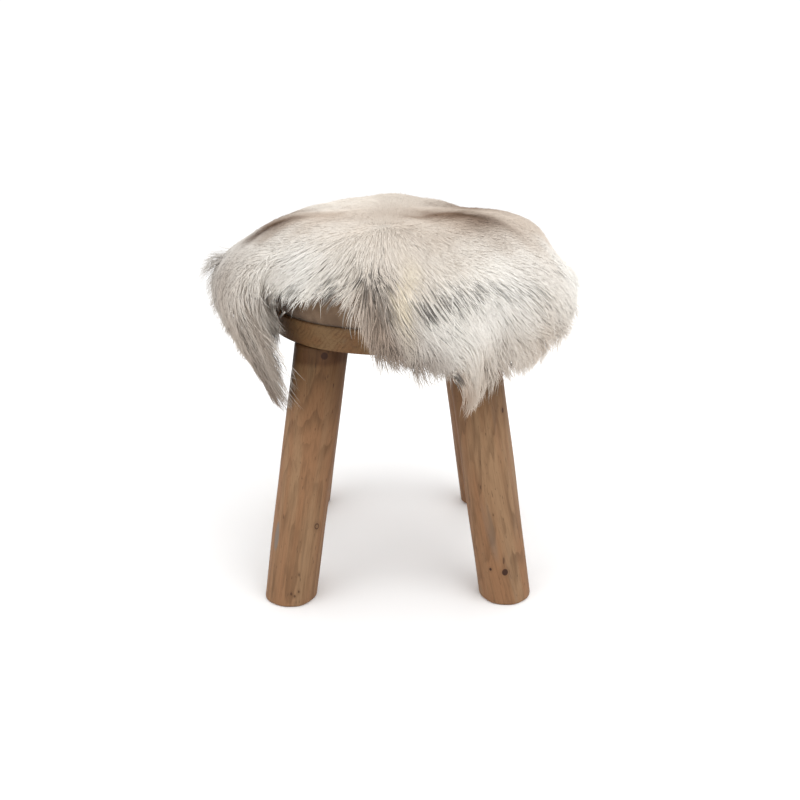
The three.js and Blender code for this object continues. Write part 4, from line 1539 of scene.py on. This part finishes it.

# %% [markdown]
# The hide's pieces are now made: the skin is a draped sheet of its cut size that rests on the pad, and the
# underfur and hair go with it as its pile.

# %% [markdown]
# ## Stage
# A pale floor, soft light and a white surround, as in a studio. The large key lamp stands high to the right
# of the camera, weaker ones fill from the left and from behind, and the surround lights the rest evenly.

# %% Floor
FLOOR_HALF = 4.0
FLOOR_WHITE = (0.93, 0.93, 0.93, 1.0)
floor_mesh = bpy.data.meshes.new("floor")
floor_corners = FLOOR_HALF * np.array([[-1, -1, 0], [1, -1, 0], [1, 1, 0], [-1, 1, 0]])
floor_mesh.from_pydata(floor_corners.tolist(), [], [(0, 1, 2, 3)])
floor = bpy.data.objects.new("floor", floor_mesh)
bpy.context.scene.collection.objects.link(floor)
floor_finish, tree, shader = finish("pale_floor", roughness=0.9, specular=0.1)
shader.inputs["Base Color"].default_value = FLOOR_WHITE
floor_mesh.materials.append(floor_finish)
print("floor", 2 * FLOOR_HALF, "m square")

# %% Light
SURROUND_STRENGTH = 1.08
LAMPS_AIM_AT = np.array([0.0, 0.0, 0.3])
# name, place, size, watts
LAMPS = (
    ("key", (1.2, -1.0, 2.0), 1.8, 18.0),
    ("fill", (-1.5, -0.9, 1.4), 1.6, 8.0),
    ("back", (0.2, 1.7, 1.9), 1.4, 8.0),
)
world = bpy.data.worlds.new("studio")
bpy.context.scene.world = world
world.use_nodes = True
surround = world.node_tree.nodes["Background"]
surround.inputs["Color"].default_value = (1.0, 1.0, 1.0, 1.0)
surround.inputs["Strength"].default_value = SURROUND_STRENGTH
for lamp_name, place, size, power in LAMPS:
    light = bpy.data.lights.new(lamp_name, "AREA")
    light.size = size
    light.energy = power
    lamp = bpy.data.objects.new(lamp_name, light)
    bpy.context.scene.collection.objects.link(lamp)
    lamp.location = place
    aim = LAMPS_AIM_AT - np.array(place)
    level_reach = math.hypot(aim[0], aim[1])
    lamp.rotation_euler = (math.atan2(level_reach, -aim[2]), 0.0, math.atan2(aim[1], aim[0]) - math.pi / 2)
bpy.context.scene.view_settings.view_transform = "Standard"
print(len(LAMPS), "lamps")

# %% [markdown]
# The camera stands where the photograph was taken from: a little over a metre in front of the stool, above
# the seat, and looking down at it. Its lens gives the photograph's perspective on a square picture.

# %% Camera
CAMERA_PLACE = np.array([4.63, -1073.45, 582.76])
CAMERA_PITCH_DOWN = 0.3416
FOCAL_PIXELS = 900.8
PICTURE_PIXELS = 800.0
SENSOR_WIDTH = 36.0
eye = bpy.data.cameras.new("camera")
eye.sensor_width = SENSOR_WIDTH
eye.lens = FOCAL_PIXELS / PICTURE_PIXELS * SENSOR_WIDTH
camera = bpy.data.objects.new("camera", eye)
bpy.context.scene.collection.objects.link(camera)
camera.location = CAMERA_PLACE * MM + AXIS
camera.rotation_euler = (math.pi / 2 - CAMERA_PITCH_DOWN, 0.0, 0.0)
bpy.context.scene.camera = camera
print("lens", round(eye.lens, 2), "mm")
